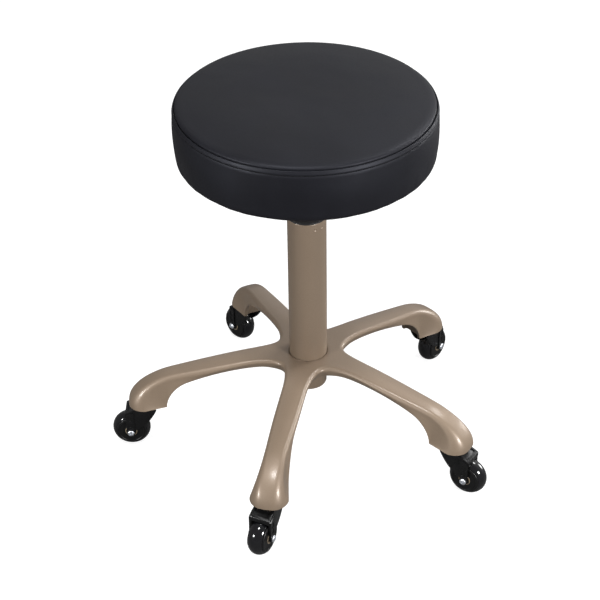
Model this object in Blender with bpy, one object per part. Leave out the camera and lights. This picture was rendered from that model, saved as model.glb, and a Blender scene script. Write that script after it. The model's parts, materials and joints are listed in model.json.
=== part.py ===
"""Height-adjustable pedicure stool on a cast five-arm base with ball casters.

Units are metres and +Z is up. Heights in this file are measured from the floor. The
world origin is the centre of the seat's top face, on the swivel axis, so everything
hangs from one empty that sits a seat height below it. The front arm points along -Y,
and the release lever points along +Y.
"""
import math

import bmesh
import bpy
from mathutils import Matrix, Vector

GAP = 0.0003                      # clearance between touching pieces
RINGS = {"large": 36, "tube": 24, "wheel": 20, "small": 12, "tiny": 8}

# Seat
SEAT_TOP = 0.5185
SEAT_BOTTOM = 0.4405
SEAT_RADIUS = 0.1610
SEAM_HEIGHT = 0.5113              # where the top panel meets the side band
FLAT_RADIUS = 0.060               # flat centre of the crowned top panel
COVER = 0.0014                    # vinyl with its backing
WRAP_RADIUS = 0.140               # how far the band is folded under the board
BOARD_RADIUS = 0.152
BOARD_BOTTOM = 0.4424
BOARD_TOP = 0.4544
BOLT_SQUARE = 0.048               # half the spacing of the four seat bolts

# Seat plate: a pressed pan with a tapered socket for the gas cylinder
PLATE = 0.003
PLATE_TOP = BOARD_BOTTOM - GAP
PLATE_RADIUS = 0.082
PAN_RADIUS = 0.052
PAN_FLOOR = 0.4180
SOCKET_BOTTOM = 0.388
SOCKET_RADIUS = 0.019

# Column and gas lift
TUBE_RADIUS = 0.025
TUBE_WALL = 0.0018
TUBE_BOTTOM = 0.0895
TUBE_TOP = 0.3505
TUBE_FOOT_RADIUS = 0.0243         # the tube tapers where it sits in the hub
CYLINDER_RADIUS = 0.014
CYLINDER_BORE = 0.0126
CYLINDER_BOTTOM = 0.118
CYLINDER_TOP = 0.424
TAPER_START = 0.385
TAPER_TIP_RADIUS = 0.0130
ROD_RADIUS = 0.005
ROD_NECK = 0.004
PISTON_BOTTOM = 0.262
PIN_RADIUS = 0.004
PIN_TOP = 0.429

# Release lever
PIVOT_Y = 0.031
PIVOT_Z = 0.4295
PIVOT_RADIUS = 0.002
LEVER_RADIUS = 0.004
LEVER_END = (0.150, 0.4140)       # Y and Z of the rod's outer end

# Cast base
ARMS = 5
ARM_STEP = 2 * math.pi / ARMS
FRONT_ARM = -math.pi / 2
HUB_TOP = 0.1385
HUB_BORE = 0.0256
SLEEVE_RADIUS = 0.0305
SLEEVE_BOTTOM = 0.112
WEB_RADIUS = 0.047                # the web's edge midway between two arms
WEB_EDGE_HEIGHT = 0.127
WEB_DROOP = 0.002                 # how much lower the wall's edge is in the web's corner
WAIST_START = 0.090
WAIST = 0.0162                    # half width of an arm
HEEL = 0.192
HEEL_HALF = 0.0178
FOOT_BOTTOM = 0.070
FOOT_HALF = 0.0250
NOSE_START = 0.181
NOSE_TIP = 0.243
NOSE_POWER = 2.15                 # 2 would make the nose a quarter ellipse
WALL = 0.0042
SKIN = 0.0048                     # thickness of the arms' top
CAVITY_END = 0.204                # the hollow stops short of the stem's boss
HALF_COLUMNS = 3                  # mesh strips from an arm's centre line to its shoulder
SHOULDER_STEPS = 3

# Casters
STEM_CIRCLE = 0.218
STEM_RADIUS = 0.0055
STEM_TOP = 0.094
WHEEL_RADIUS = 0.0254
WHEEL_HALF = 0.0117
DISC_RADIUS = 0.0214              # the core's side discs
TYRE_HALF = 0.0086
TYRE_BORE = 0.0143
TRAIL = 0.0242                    # from the stem's axis to the axle
FORK_INSIDE = 0.0121
FORK_PLATE_HALF = 0.0138          # outside of the thin side plates
FORK_HALF = 0.0156                # outside of the thick legs that hold the axle
FORK_TOP = 0.0665
AXLE_RADIUS = 0.003
HEAD_RADIUS = 0.005
# Each caster's heading at rest, in degrees from the direction of its own arm.
CASTER_HEADINGS = (-13.0, 0.0, 12.8, 19.3, -4.9)


def clear_scene():
    for obj in list(bpy.data.objects):
        bpy.data.objects.remove(obj, do_unlink=True)


def make_material(name, colour, roughness, metallic):
    material = bpy.data.materials.new(name)
    material.use_nodes = True
    shader = material.node_tree.nodes["Principled BSDF"]
    shader.inputs["Base Color"].default_value = (*colour, 1.0)
    shader.inputs["Roughness"].default_value = roughness
    shader.inputs["Metallic"].default_value = metallic
    material.diffuse_color = (*colour, 1.0)
    return material


def add_empty(name, location=(0, 0, 0), parent=None, turn=0.0):
    empty = bpy.data.objects.new(name, None)
    empty.location = location
    empty.rotation_euler = (0, 0, turn)
    empty.parent = parent
    bpy.context.collection.objects.link(empty)
    return empty


def add_object(name, mesh, material, parent, location=(0, 0, 0), rotation=(0, 0, 0)):
    obj = bpy.data.objects.new(name, mesh)
    obj.location = location
    obj.rotation_euler = rotation
    obj.parent = parent
    bpy.context.collection.objects.link(obj)
    if not mesh.materials:
        mesh.materials.append(material)
    return obj


def finish_mesh(bm, name, sharp=30):
    """Face everything outwards, shade it smooth and turn it into mesh data."""
    bmesh.ops.recalc_face_normals(bm, faces=bm.faces)
    mesh = bpy.data.meshes.new(name)
    bm.to_mesh(mesh)
    bm.free()
    mesh.shade_smooth()
    mesh.set_sharp_from_angle(angle=math.radians(sharp))
    return mesh


def turned(name, profile, segments, axis="Z"):
    """Revolve a closed profile of (radius, height) points about its axis."""
    bm = bmesh.new()
    rings = []
    for radius, height in profile:
        if radius == 0:
            rings.append([bm.verts.new((0, 0, height))] * segments)
            continue
        turns = [2 * math.pi * i / segments for i in range(segments)]
        rings.append([bm.verts.new((radius * math.cos(a), radius * math.sin(a), height))
                      for a in turns])
    for ring, following in zip(rings, rings[1:] + rings[:1]):
        for i in range(segments):
            j = (i + 1) % segments
            corners = [ring[i], ring[j], following[j], following[i]]
            unique = list(dict.fromkeys(corners))
            if len(unique) > 2:
                bm.faces.new(unique)
    if axis == "X":
        bmesh.ops.rotate(bm, verts=bm.verts, matrix=Matrix.Rotation(math.pi / 2, 3, "Y"))
    if axis == "Y":
        bmesh.ops.rotate(bm, verts=bm.verts, matrix=Matrix.Rotation(-math.pi / 2, 3, "X"))
    return finish_mesh(bm, name)


def prism(name, outline, half_width):
    """Extrude an (x, z) outline from -half_width to half_width along Y."""
    bm = bmesh.new()
    near = bm.faces.new([bm.verts.new((x, -half_width, z)) for x, z in outline])
    grown = bmesh.ops.extrude_face_region(bm, geom=[near])["geom"]
    moved = [item for item in grown if isinstance(item, bmesh.types.BMVert)]
    bmesh.ops.translate(bm, verts=moved, vec=(0, 2 * half_width, 0))
    return finish_mesh(bm, name)


def block(name, low, high):
    bm = bmesh.new()
    bmesh.ops.create_cube(bm, size=1)
    size = Vector(high) - Vector(low)
    centre = (Vector(high) + Vector(low)) / 2
    bmesh.ops.scale(bm, verts=bm.verts, vec=size)
    bmesh.ops.translate(bm, verts=bm.verts, vec=centre)
    return finish_mesh(bm, name)


def rod_mesh(name, radius, low, high, segments=RINGS["tiny"], axis="Z"):
    return turned(name, [(0, low), (radius, low), (radius, high), (0, high)], segments, axis)


def cut(mesh, cutters, added=()):
    """Return the mesh joined to the added ones, with each (cutter, location) taken out."""
    body = bpy.data.objects.new("cut_body", mesh)
    bpy.context.collection.objects.link(body)
    tools = []
    steps = [(other, (0, 0, 0), "UNION") for other in added]
    steps += [(cutter, location, "DIFFERENCE") for cutter, location in cutters]
    for other, location, operation in steps:
        tool = bpy.data.objects.new("cutter", other)
        tool.location = location
        tool.hide_render = True
        tool.display_type = "WIRE"
        bpy.context.collection.objects.link(tool)
        tools.append(tool)
        modifier = body.modifiers.new("cut", "BOOLEAN")
        modifier.operation = operation
        modifier.solver = "EXACT"
        modifier.object = tool
    bpy.context.view_layer.update()
    evaluated = body.evaluated_get(bpy.context.evaluated_depsgraph_get())
    result = bpy.data.meshes.new_from_object(evaluated)
    result.name = mesh.name
    result.materials.clear()
    for obj in [body] + tools:
        bpy.data.objects.remove(obj, do_unlink=True)
    return result


# ---------------------------------------------------------------- cast base

def smooth_step(value, low, high):
    t = min(max((value - low) / (high - low), 0.0), 1.0)
    return t * t * (3 - 2 * t)


def arm_fall(reach):
    """How far the arm has fallen below the hub: level at first, then a steady slope."""
    knee_start, knee_end, slope = 0.050, 0.110, 0.19
    if reach < knee_start:
        return 0.0
    if reach < knee_end:
        return slope * (reach - knee_start) ** 2 / (2 * (knee_end - knee_start))
    return slope * (reach - (knee_start + knee_end) / 2)


def arm_top(reach):
    """Height of the arm's top, which turns down over the nose of the foot."""
    height = HUB_TOP - arm_fall(reach) - FOOT_BOTTOM
    if reach > NOSE_START:
        across = min((reach - NOSE_START) / (NOSE_TIP - NOSE_START), 1.0)
        height *= (1 - across ** NOSE_POWER) ** (1 / NOSE_POWER)
    return FOOT_BOTTOM + height


def arm_underside(reach):
    """Height of the side wall's lower edge: a flat arch that drops to the heel."""
    apex = WEB_RADIUS * math.cos(ARM_STEP / 2)
    arch_start, fall = 0.165, 1.25
    height = WEB_EDGE_HEIGHT - fall * (reach - apex) ** 2
    height -= WEB_DROOP * (1 - smooth_step(reach, apex, 0.065))
    if reach <= arch_start:
        return height
    drop = WEB_EDGE_HEIGHT - fall * (HEEL - apex) ** 2 - FOOT_BOTTOM
    across = min((reach - arch_start) / (HEEL - arch_start), 1.0)
    return height - drop * (1 - math.sqrt(1 - across ** 2))


def arm_edge(t):
    """Plan point of the arm's edge: a curve from the web (t = 0) to the heel (t = 1)."""
    half_step = ARM_STEP / 2
    apex = Vector((math.cos(half_step), math.sin(half_step))) * WEB_RADIUS
    along = Vector((math.sin(half_step), -math.cos(half_step)))
    waist_t = 0.5
    if t < waist_t:
        u = t / waist_t
        a, b = apex, apex + along * 0.009
        c, d = Vector((0.060, WAIST)), Vector((WAIST_START, WAIST))
        return a * (1 - u) ** 3 + b * 3 * u * (1 - u) ** 2 + c * 3 * u * u * (1 - u) + d * u ** 3
    u = (t - waist_t) / (1 - waist_t)
    reach = WAIST_START + (HEEL - WAIST_START) * math.sin(u * math.pi / 2)
    return Vector((reach, WAIST + (HEEL_HALF - WAIST) * smooth_step(reach, 0.150, HEEL)))


def section(edge, inward, centre, top_of, rim, radius, columns, arc_steps):
    """One half U across an arm, from its centre line to the wall's lower edge."""
    inner_end = edge + inward * radius
    points = []
    for j in range(columns + 1):
        f = j / columns
        x = centre + (inner_end.x - centre) * f * f
        y = inner_end.y * f
        points.append(Vector((x, y, top_of(x, y))))
    drop_from = points[-1].z
    for j in range(1, arc_steps + 1):
        a = math.pi / 2 * j / arc_steps
        plan = edge + inward * radius * (1 - math.sin(a))
        points.append(Vector((plan.x, plan.y, drop_from - radius * (1 - math.cos(a)))))
    points.append(Vector((edge.x, edge.y, rim)))
    return points


def arm_section(t, inside):
    """Half section of the arm at t, of its outer or of its inner surface."""
    step = 0.01
    edge = arm_edge(t)
    tangent = arm_edge(min(t + step, 1)) - arm_edge(max(t - step, 0))
    inward = Vector((tangent.y, -tangent.x)).normalized()
    if t == 0:
        inward = -edge.normalized()
    if t == 1:
        inward = Vector((0, -1))
    radius = 0.004 + 0.003 * smooth_step(edge.x, 0.060, HEEL)
    lead = 0.014 * (1 - smooth_step(edge.x, 0.036, 0.110))
    rim = arm_underside(edge.x)
    skin = SKIN if inside else 0.0
    if inside:
        edge = edge + inward * WALL
        radius = 0.002

    def top_of(x, y):
        crown = 0.0015 * (y / WAIST) ** 2 * smooth_step(x, 0.060, 0.120)
        return arm_top(math.hypot(x, y)) - crown - skin

    return section(edge, inward, edge.x + lead, top_of, rim, radius, HALF_COLUMNS,
                   1 if inside else SHOULDER_STEPS)


def foot_section(angle, inside):
    """Half section of the foot, in a plane through the heel edge that tips forwards.

    The angle runs along the nose's curve, and ends at the foot's bottom face.
    """
    reach = NOSE_START + (NOSE_TIP - NOSE_START) * math.sin(angle) ** (2 / NOSE_POWER)
    height = arm_top(reach) - FOOT_BOTTOM
    depth = math.hypot(reach - HEEL, height)
    along = Vector(((reach - HEEL) / depth, height / depth))
    forward = 1 - along.y
    spread = HEEL_HALF + (FOOT_HALF - HEEL_HALF) * forward - 0.0012 * (1 - forward)
    start = HEEL_HALF
    corner = Vector((0.007 + 0.0145 * forward, 0.007 + 0.013 * forward))
    crown = 0.0015
    if inside:
        wall_distance = (CAVITY_END - HEEL) / max(along.x, 1e-6)
        depth = min(depth - SKIN, wall_distance)
        start = start - WALL
        spread = min(spread, HEEL_HALF) - WALL
        corner = Vector((0.002, 0.002))
        crown = 0.0
    points = []
    for j in range(HALF_COLUMNS + 1):
        across = j / HALF_COLUMNS
        points.append((depth - crown * across ** 2, (spread - corner.y) * across))
    shoulder = points[-1][0]
    arc_steps = 1 if inside else SHOULDER_STEPS
    for j in range(1, arc_steps + 1):
        a = math.pi / 2 * j / arc_steps
        points.append((shoulder - corner.x * (1 - math.cos(a)), spread - corner.y * (1 - math.sin(a))))
    points.append((0.0, start))
    return [Vector((HEEL + along.x * d, y, FOOT_BOTTOM + along.y * d)) for d, y in points]


def full_section(half):
    """Mirror a half section to run from one lower edge to the other."""
    left = [Vector((p.x, -p.y, p.z)) for p in reversed(half[1:])]
    return left + half


def base_star_mesh():
    arm_steps, foot_steps, columns = 10, 5, 2 * HALF_COLUMNS
    loops = []
    for i in range(arm_steps + 1):
        t = i / arm_steps
        outer = full_section(arm_section(t, False))
        inner = full_section(arm_section(t, True))
        loops.append((outer, inner))
    heel_share = (HEEL - NOSE_START) / (NOSE_TIP - NOSE_START)
    heel_angle = math.asin(heel_share ** (NOSE_POWER / 2))
    for i in range(1, foot_steps + 1):
        angle = heel_angle + (math.pi / 2 - heel_angle) * i / foot_steps
        outer = full_section(foot_section(angle, False))
        inner = full_section(foot_section(angle, True))
        loops.append((outer, inner))
    trim_out = (len(loops[0][0]) - columns - 1) // 2
    trim_in = (len(loops[0][1]) - columns - 1) // 2
    web_top = loops[0][0][trim_out:len(loops[0][0]) - trim_out]
    web_ceiling = loops[0][1][trim_in:len(loops[0][1]) - trim_in]

    def circle(radius, height):
        angles = [ARM_STEP * (j / columns - 0.5) for j in range(columns + 1)]
        return [Vector((radius * math.cos(a), radius * math.sin(a), height)) for a in angles]

    def between(first, second, t):
        return [a.lerp(b, t) for a, b in zip(first, second)]

    hub_ring = circle(HUB_BORE, HUB_TOP)
    ceiling_ring = circle(SLEEVE_RADIUS, HUB_TOP - SKIN)
    top_rows = [hub_ring, between(hub_ring, web_top, 0.5), web_top]
    sleeve_rows = [hub_ring, circle(HUB_BORE, SLEEVE_BOTTOM), circle(SLEEVE_RADIUS, SLEEVE_BOTTOM),
                   ceiling_ring, web_ceiling]
    bm = bmesh.new()

    def add_strip(first, second):
        for j in range(len(first) - 1):
            corners = [first[j], first[j + 1], second[j + 1], second[j]]
            bm.faces.new([bm.verts.new(p) for p in corners])

    for rows in (top_rows, sleeve_rows):
        for first, second in zip(rows, rows[1:]):
            add_strip(first, second)
    for (outer, inner), (next_outer, next_inner) in zip(loops, loops[1:]):
        ring = outer + inner[::-1] + outer[:1]
        next_ring = next_outer + next_inner[::-1] + next_outer[:1]
        add_strip(ring, next_ring)
    last_outer, last_inner = loops[-1]
    bm.faces.new([bm.verts.new(p) for p in last_outer + last_inner[::-1]])
    sector = list(bm.verts) + list(bm.edges) + list(bm.faces)
    for k in range(1, ARMS):
        copy = bmesh.ops.duplicate(bm, geom=sector)["geom"]
        verts = [item for item in copy if isinstance(item, bmesh.types.BMVert)]
        bmesh.ops.rotate(bm, verts=verts, matrix=Matrix.Rotation(ARM_STEP * k, 3, "Z"))
    bmesh.ops.remove_doubles(bm, verts=bm.verts, dist=1e-6)
    bmesh.ops.dissolve_degenerate(bm, edges=bm.edges, dist=1e-6)
    bmesh.ops.rotate(bm, verts=bm.verts, matrix=Matrix.Rotation(FRONT_ARM, 3, "Z"))
    star = finish_mesh(bm, "base_star", sharp=40)
    hole = rod_mesh("stem_hole", STEM_RADIUS + GAP, FOOT_BOTTOM - 0.01, STEM_TOP + GAP)
    return cut(star, [(hole, stem_location(k)) for k in range(ARMS)])


def stem_location(k):
    angle = FRONT_ARM + ARM_STEP * k
    return (STEM_CIRCLE * math.cos(angle), STEM_CIRCLE * math.sin(angle), 0)


# ---------------------------------------------------------------- column

def column_tube_mesh():
    inner = TUBE_RADIUS - TUBE_WALL
    foot_inner = TUBE_FOOT_RADIUS - TUBE_WALL
    floor = TUBE_BOTTOM + 0.0035
    hole = ROD_NECK + 2 * GAP
    return turned("column_tube", [
        (hole, TUBE_BOTTOM), (TUBE_FOOT_RADIUS, TUBE_BOTTOM), (TUBE_RADIUS, HUB_TOP),
        (TUBE_RADIUS, TUBE_TOP), (inner, TUBE_TOP), (inner, HUB_TOP), (foot_inner, floor),
        (hole, floor)], RINGS["tube"])


def guide_bush_mesh():
    body = TUBE_RADIUS - TUBE_WALL - GAP
    bore = CYLINDER_RADIUS + GAP
    seat = TUBE_TOP + GAP
    return turned("guide_bush", [
        (bore, 0.250), (body, 0.250), (body, seat), (TUBE_RADIUS + 0.0006, seat),
        (TUBE_RADIUS + 0.0006, seat + 0.002), (TUBE_RADIUS - 0.001, seat + 0.0038),
        (bore, seat + 0.0038)], RINGS["tube"])


def ring_mesh(name, inner, outer, low, high, segments=RINGS["wheel"]):
    return turned(name, [(inner, low), (outer, low), (outer, high), (inner, high)], segments)


def piston_rod_mesh():
    shoulder = TUBE_BOTTOM + 0.0114
    return turned("piston_rod", [
        (0, TUBE_BOTTOM - 0.006), (ROD_NECK, TUBE_BOTTOM - 0.006), (ROD_NECK, shoulder),
        (ROD_RADIUS, shoulder), (ROD_RADIUS, PISTON_BOTTOM - GAP), (ROD_NECK, PISTON_BOTTOM - GAP),
        (ROD_NECK, PISTON_BOTTOM + 0.017), (0, PISTON_BOTTOM + 0.017)], RINGS["small"])


def gas_cylinder_mesh():
    ceiling = CYLINDER_TOP - 0.012
    pin_bore = PIN_RADIUS + GAP
    return turned("gas_cylinder", [
        (CYLINDER_BORE, CYLINDER_BOTTOM), (CYLINDER_RADIUS, CYLINDER_BOTTOM),
        (CYLINDER_RADIUS, TAPER_START), (TAPER_TIP_RADIUS, CYLINDER_TOP), (pin_bore, CYLINDER_TOP),
        (pin_bore, ceiling), (CYLINDER_BORE, ceiling)], RINGS["wheel"])


def release_pin_mesh():
    return turned("release_pin", [
        (0, 0.400), (PIN_RADIUS, 0.400), (PIN_RADIUS, PIN_TOP - 0.0012),
        (PIN_RADIUS - 0.0016, PIN_TOP), (0, PIN_TOP)], RINGS["tiny"])


# ---------------------------------------------------------------- seat

def seat_plate_mesh():
    socket_top = PAN_FLOOR + PLATE
    low_bore = CYLINDER_RADIUS + GAP
    share = (socket_top - TAPER_START) / (CYLINDER_TOP - TAPER_START)
    high_bore = CYLINDER_RADIUS - (CYLINDER_RADIUS - TAPER_TIP_RADIUS) * share + GAP
    plate = turned("seat_plate", [
        (low_bore, SOCKET_BOTTOM), (SOCKET_RADIUS, SOCKET_BOTTOM), (SOCKET_RADIUS, PAN_FLOOR),
        (PAN_RADIUS, PAN_FLOOR), (PAN_RADIUS, PLATE_TOP - PLATE), (PLATE_RADIUS, PLATE_TOP - PLATE),
        (PLATE_RADIUS, PLATE_TOP), (PAN_RADIUS - PLATE, PLATE_TOP),
        (PAN_RADIUS - PLATE, socket_top), (high_bore, socket_top)], RINGS["tube"])
    hole = rod_mesh("bolt_hole", AXLE_RADIUS + 2 * GAP, PAN_FLOOR + 0.01, PLATE_TOP + 0.01)
    slot = block("lever_slot", (-0.0075, PAN_RADIUS - 0.007, PAN_FLOOR + 0.005),
                 (0.0075, PAN_RADIUS + 0.005, PLATE_TOP - 0.0045))
    cutters = [(hole, (x, y, 0)) for x, y in bolt_places()]
    return cut(plate, cutters + [(slot, (0, 0, 0))])


def bolt_places():
    return [(x, y) for x in (-BOLT_SQUARE, BOLT_SQUARE) for y in (-BOLT_SQUARE, BOLT_SQUARE)]


def seat_board_mesh():
    board = turned("seat_board", [
        (0, BOARD_BOTTOM), (BOARD_RADIUS, BOARD_BOTTOM), (BOARD_RADIUS, BOARD_TOP),
        (0, BOARD_TOP)], RINGS["large"])
    counterbore = BOARD_TOP - 0.0024
    hole = turned("t_nut_hole", [
        (0, BOARD_BOTTOM - 0.01), (0.0048, BOARD_BOTTOM - 0.01), (0.0048, counterbore),
        (0.0094, counterbore), (0.0094, BOARD_TOP + 0.01), (0, BOARD_TOP + 0.01)], RINGS["tiny"])
    return cut(board, [(hole, (x, y, 0)) for x, y in bolt_places()])


def t_nut_mesh():
    shelf = BOARD_TOP - 0.0021
    return turned("t_nut", [
        (0.0033, shelf - 0.0078), (0.0045, shelf - 0.0078), (0.0045, shelf), (0.0090, shelf),
        (0.0090, shelf + 0.0016), (0.0033, shelf + 0.0016)], RINGS["tiny"])


def seat_bolt_mesh():
    flange = PLATE_TOP - PLATE - GAP
    return turned("seat_bolt", [
        (0, flange - 0.0042), (0.0050, flange - 0.0042), (0.0058, flange - 0.0032),
        (0.0058, flange), (AXLE_RADIUS, flange), (AXLE_RADIUS, BOARD_TOP - 0.003),
        (0, BOARD_TOP - 0.003)], RINGS["tiny"])


def seat_foam_mesh():
    side = SEAT_RADIUS - COVER - GAP
    return turned("seat_foam", [
        (0, BOARD_TOP + GAP), (side - 0.0015, BOARD_TOP + GAP), (side, 0.480),
        (side - 0.0006, SEAM_HEIGHT - 0.0020), (0.150, 0.5125), (0.105, 0.5158),
        (FLAT_RADIUS, SEAT_TOP - COVER - GAP), (0, SEAT_TOP - COVER - GAP)], RINGS["large"])


def seat_cover_top_mesh():
    return turned("seat_cover_top", [
        (0, SEAT_TOP - COVER), (FLAT_RADIUS, SEAT_TOP - COVER), (0.105, 0.5162), (0.150, 0.5130),
        (SEAT_RADIUS - 0.0010, SEAM_HEIGHT - 0.0003), (SEAT_RADIUS, SEAM_HEIGHT + 0.0006),
        (0.158, 0.5132), (0.150, 0.5145), (0.105, 0.5177), (FLAT_RADIUS, SEAT_TOP), (0, SEAT_TOP)],
        RINGS["large"])


def seat_cover_band_mesh():
    top = SEAM_HEIGHT - 0.0010
    tucked = SEAT_BOTTOM + COVER - 0.0002
    return turned("seat_cover_band", [
        (SEAT_RADIUS - 0.0004, top), (SEAT_RADIUS, 0.480), (SEAT_RADIUS - 0.0008, 0.4470),
        (SEAT_RADIUS - 0.0024, 0.4420), (SEAT_RADIUS - 0.0058, SEAT_BOTTOM),
        (WRAP_RADIUS, SEAT_BOTTOM), (WRAP_RADIUS, tucked), (SEAT_RADIUS - 0.0062, tucked),
        (SEAT_RADIUS - 0.0036, 0.4430), (SEAT_RADIUS - 0.0022, 0.4474),
        (SEAT_RADIUS - COVER, 0.480), (SEAT_RADIUS - 0.0004 - COVER, top)], RINGS["large"])


# ---------------------------------------------------------------- release lever

def loft(name, rings, closed_ends=(True, True)):
    """Skin a list of equal rings of points."""
    bm = bmesh.new()
    levels = [[bm.verts.new(p) for p in ring] for ring in rings]
    count = len(levels[0])
    for level, following in zip(levels, levels[1:]):
        for i in range(count):
            j = (i + 1) % count
            bm.faces.new((level[i], level[j], following[j], following[i]))
    if closed_ends[0]:
        bm.faces.new(levels[0][::-1])
    if closed_ends[1]:
        bm.faces.new(levels[-1])
    return finish_mesh(bm, name)


def oval(y, z, half_width, half_height, count=RINGS["tiny"]):
    """A ring across the lever, in the plane y = constant, seen from the pivot."""
    angles = [2 * math.pi * i / count for i in range(count)]
    return [Vector((half_width * math.cos(a), y - PIVOT_Y, z - PIVOT_Z + half_height * math.sin(a)))
            for a in angles]


def lever_line(y):
    """Height of the lever's centre line outside the seat plate."""
    end_y, end_z = LEVER_END
    bend = 0.058
    if y < bend:
        return PIVOT_Z
    return PIVOT_Z + (end_z - PIVOT_Z) * (y - bend) / (end_y - bend)


def release_lever_mesh():
    paddle_z = PIN_TOP + GAP + 0.0016
    lever = loft("release_lever", [
        oval(-0.008, paddle_z, 0.0055, 0.0013), oval(-0.005, paddle_z, 0.0065, 0.0015),
        oval(0.014, paddle_z, 0.0065, 0.0015), oval(0.021, PIVOT_Z, 0.0050, LEVER_RADIUS),
        oval(0.042, PIVOT_Z, LEVER_RADIUS, LEVER_RADIUS),
        oval(0.058, PIVOT_Z, LEVER_RADIUS, LEVER_RADIUS),
        oval(LEVER_END[0], LEVER_END[1], LEVER_RADIUS, LEVER_RADIUS)])
    hole = rod_mesh("pivot_hole", PIVOT_RADIUS + GAP, -0.012, 0.012, axis="X")
    return cut(lever, [(hole, (0, 0, 0))])


def lever_grip_mesh():
    start, end = 0.104, LEVER_END[0] + 0.010
    bore = LEVER_RADIUS + GAP
    bore_end = LEVER_END[0] + 0.0008
    return loft("lever_grip", [
        oval(bore_end, lever_line(bore_end), bore, bore), oval(start, lever_line(start), bore, bore),
        oval(start, lever_line(start), 0.0060, 0.0058), oval(0.120, lever_line(0.120), 0.0085, 0.0062),
        oval(0.148, lever_line(0.148), 0.0110, 0.0062), oval(0.156, lever_line(0.156), 0.0095, 0.0056),
        oval(end, lever_line(end), 0.0060, 0.0036)])


def lever_bracket_mesh():
    floor = PAN_FLOOR + PLATE + GAP
    outline = [(-0.0110, floor), (0.0110, floor), (0.0110, 0.4340), (0.0085, 0.4340),
               (0.0085, floor + 0.002), (-0.0085, floor + 0.002), (-0.0085, 0.4340),
               (-0.0110, 0.4340)]
    bracket = prism("lever_bracket", [(x, z - PIVOT_Z) for x, z in outline], 0.006)
    hole = rod_mesh("bracket_hole", PIVOT_RADIUS + GAP, -0.02, 0.02, axis="X")
    return cut(bracket, [(hole, (0, 0, 0))])


def lever_pivot_mesh():
    head, reach = 0.0032, 0.0113
    return turned("lever_pivot", [
        (0, -reach - 0.0012), (head, -reach - 0.0012), (head, -reach), (PIVOT_RADIUS, -reach),
        (PIVOT_RADIUS, reach), (head, reach), (head, reach + 0.0012), (0, reach + 0.0012)],
        RINGS["tiny"], axis="X")


# ---------------------------------------------------------------- casters

def caster_stem_mesh():
    plate_bottom = FORK_TOP - 0.0035
    return turned("caster_stem", [
        (0, plate_bottom - 0.0027), (0.0062, plate_bottom - 0.0027),
        (0.0062, plate_bottom - GAP), (0.0040, plate_bottom - GAP), (0.0040, FORK_TOP + GAP),
        (0.0090, FORK_TOP + GAP), (0.0090, FOOT_BOTTOM - GAP), (STEM_RADIUS, FOOT_BOTTOM - GAP),
        (STEM_RADIUS, STEM_TOP - GAP), (0, STEM_TOP - GAP)], RINGS["tiny"])


def fork_mesh():
    """The yoke: a top plate with a drooping front lip, side plates and thicker legs."""
    rear, bend, front = -0.0125, 0.0110, 0.0302
    plate, lip_top = 0.0035, 0.0570
    leg_rear, leg_front = TRAIL - 0.0046, TRAIL + 0.0046
    boss_steps = 4
    boss_angles = [-math.pi * i / boss_steps for i in range(boss_steps + 1)]
    boss = [(TRAIL + 0.0046 * math.cos(a), WHEEL_RADIUS - 0.0010 + 0.0050 * math.sin(a))
            for a in boss_angles]
    outline = [(rear, FORK_TOP), (bend, FORK_TOP), (front, lip_top), (front, lip_top - 0.0045)]
    outline += boss + [(leg_rear - 0.0055, 0.0300), (0.0005, 0.0430), (-0.0095, 0.0570),
                       (rear, 0.0625)]
    body = prism("caster_fork", outline, FORK_PLATE_HALF)
    leg_top = [(leg_rear, 0.0600), (leg_front, 0.0562)]
    legs = prism("fork_legs", leg_top + boss, FORK_HALF)
    slot_outline = [(rear - 0.01, FORK_TOP - plate), (bend, FORK_TOP - plate),
                    (front + 0.0002, lip_top - plate), (front + 0.02, lip_top - plate),
                    (front + 0.02, 0.0), (rear - 0.01, 0.0)]
    slot = prism("wheel_slot", slot_outline, FORK_INSIDE)
    stem_hole = rod_mesh("fork_stem_hole", 0.0045, FORK_TOP - 0.01, FORK_TOP + 0.01)
    axle_hole = rod_mesh("fork_axle_hole", AXLE_RADIUS + GAP, -0.03, 0.03, axis="Y")
    return cut(body, [(slot, (0, 0, 0)), (stem_hole, (0, 0, 0)),
                      (axle_hole, (TRAIL, 0, WHEEL_RADIUS))], added=[legs])


def tyre_mesh():
    """A ball-shaped tread that fills the space between the core's two discs."""
    steps, crown_radius = 4, 0.0130
    edge = math.asin(TYRE_HALF / crown_radius)
    profile = [(TYRE_BORE, -TYRE_HALF)]
    for i in range(steps + 1):
        a = edge * (2 * i / steps - 1)
        drop = crown_radius * (1 - math.cos(a))
        profile.append((WHEEL_RADIUS - drop, crown_radius * math.sin(a)))
    profile.append((TYRE_BORE, TYRE_HALF))
    return turned("caster_tyre", profile, RINGS["wheel"], axis="Y")


def wheel_core_mesh():
    """A spool: a hub between two side discs that carry the ball shape on outwards."""
    hub = TYRE_BORE - GAP
    bore = AXLE_RADIUS + GAP
    inner = TYRE_HALF + GAP
    face = DISC_RADIUS - 0.0034
    return turned("wheel_core", [
        (bore, -WHEEL_HALF), (face, -WHEEL_HALF), (DISC_RADIUS, -inner), (hub, -inner),
        (hub, inner), (DISC_RADIUS, inner), (face, WHEEL_HALF), (bore, WHEEL_HALF)],
        RINGS["wheel"], axis="Y")


def axle_bolt_mesh():
    face = FORK_HALF + GAP
    return turned("axle_bolt", [
        (0, -face - 0.0004), (AXLE_RADIUS, -face - 0.0004), (AXLE_RADIUS, face),
        (HEAD_RADIUS, face), (HEAD_RADIUS, face + 0.0012), (0.0030, face + 0.0024),
        (0, face + 0.0024)], RINGS["tiny"], axis="Y")


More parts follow.
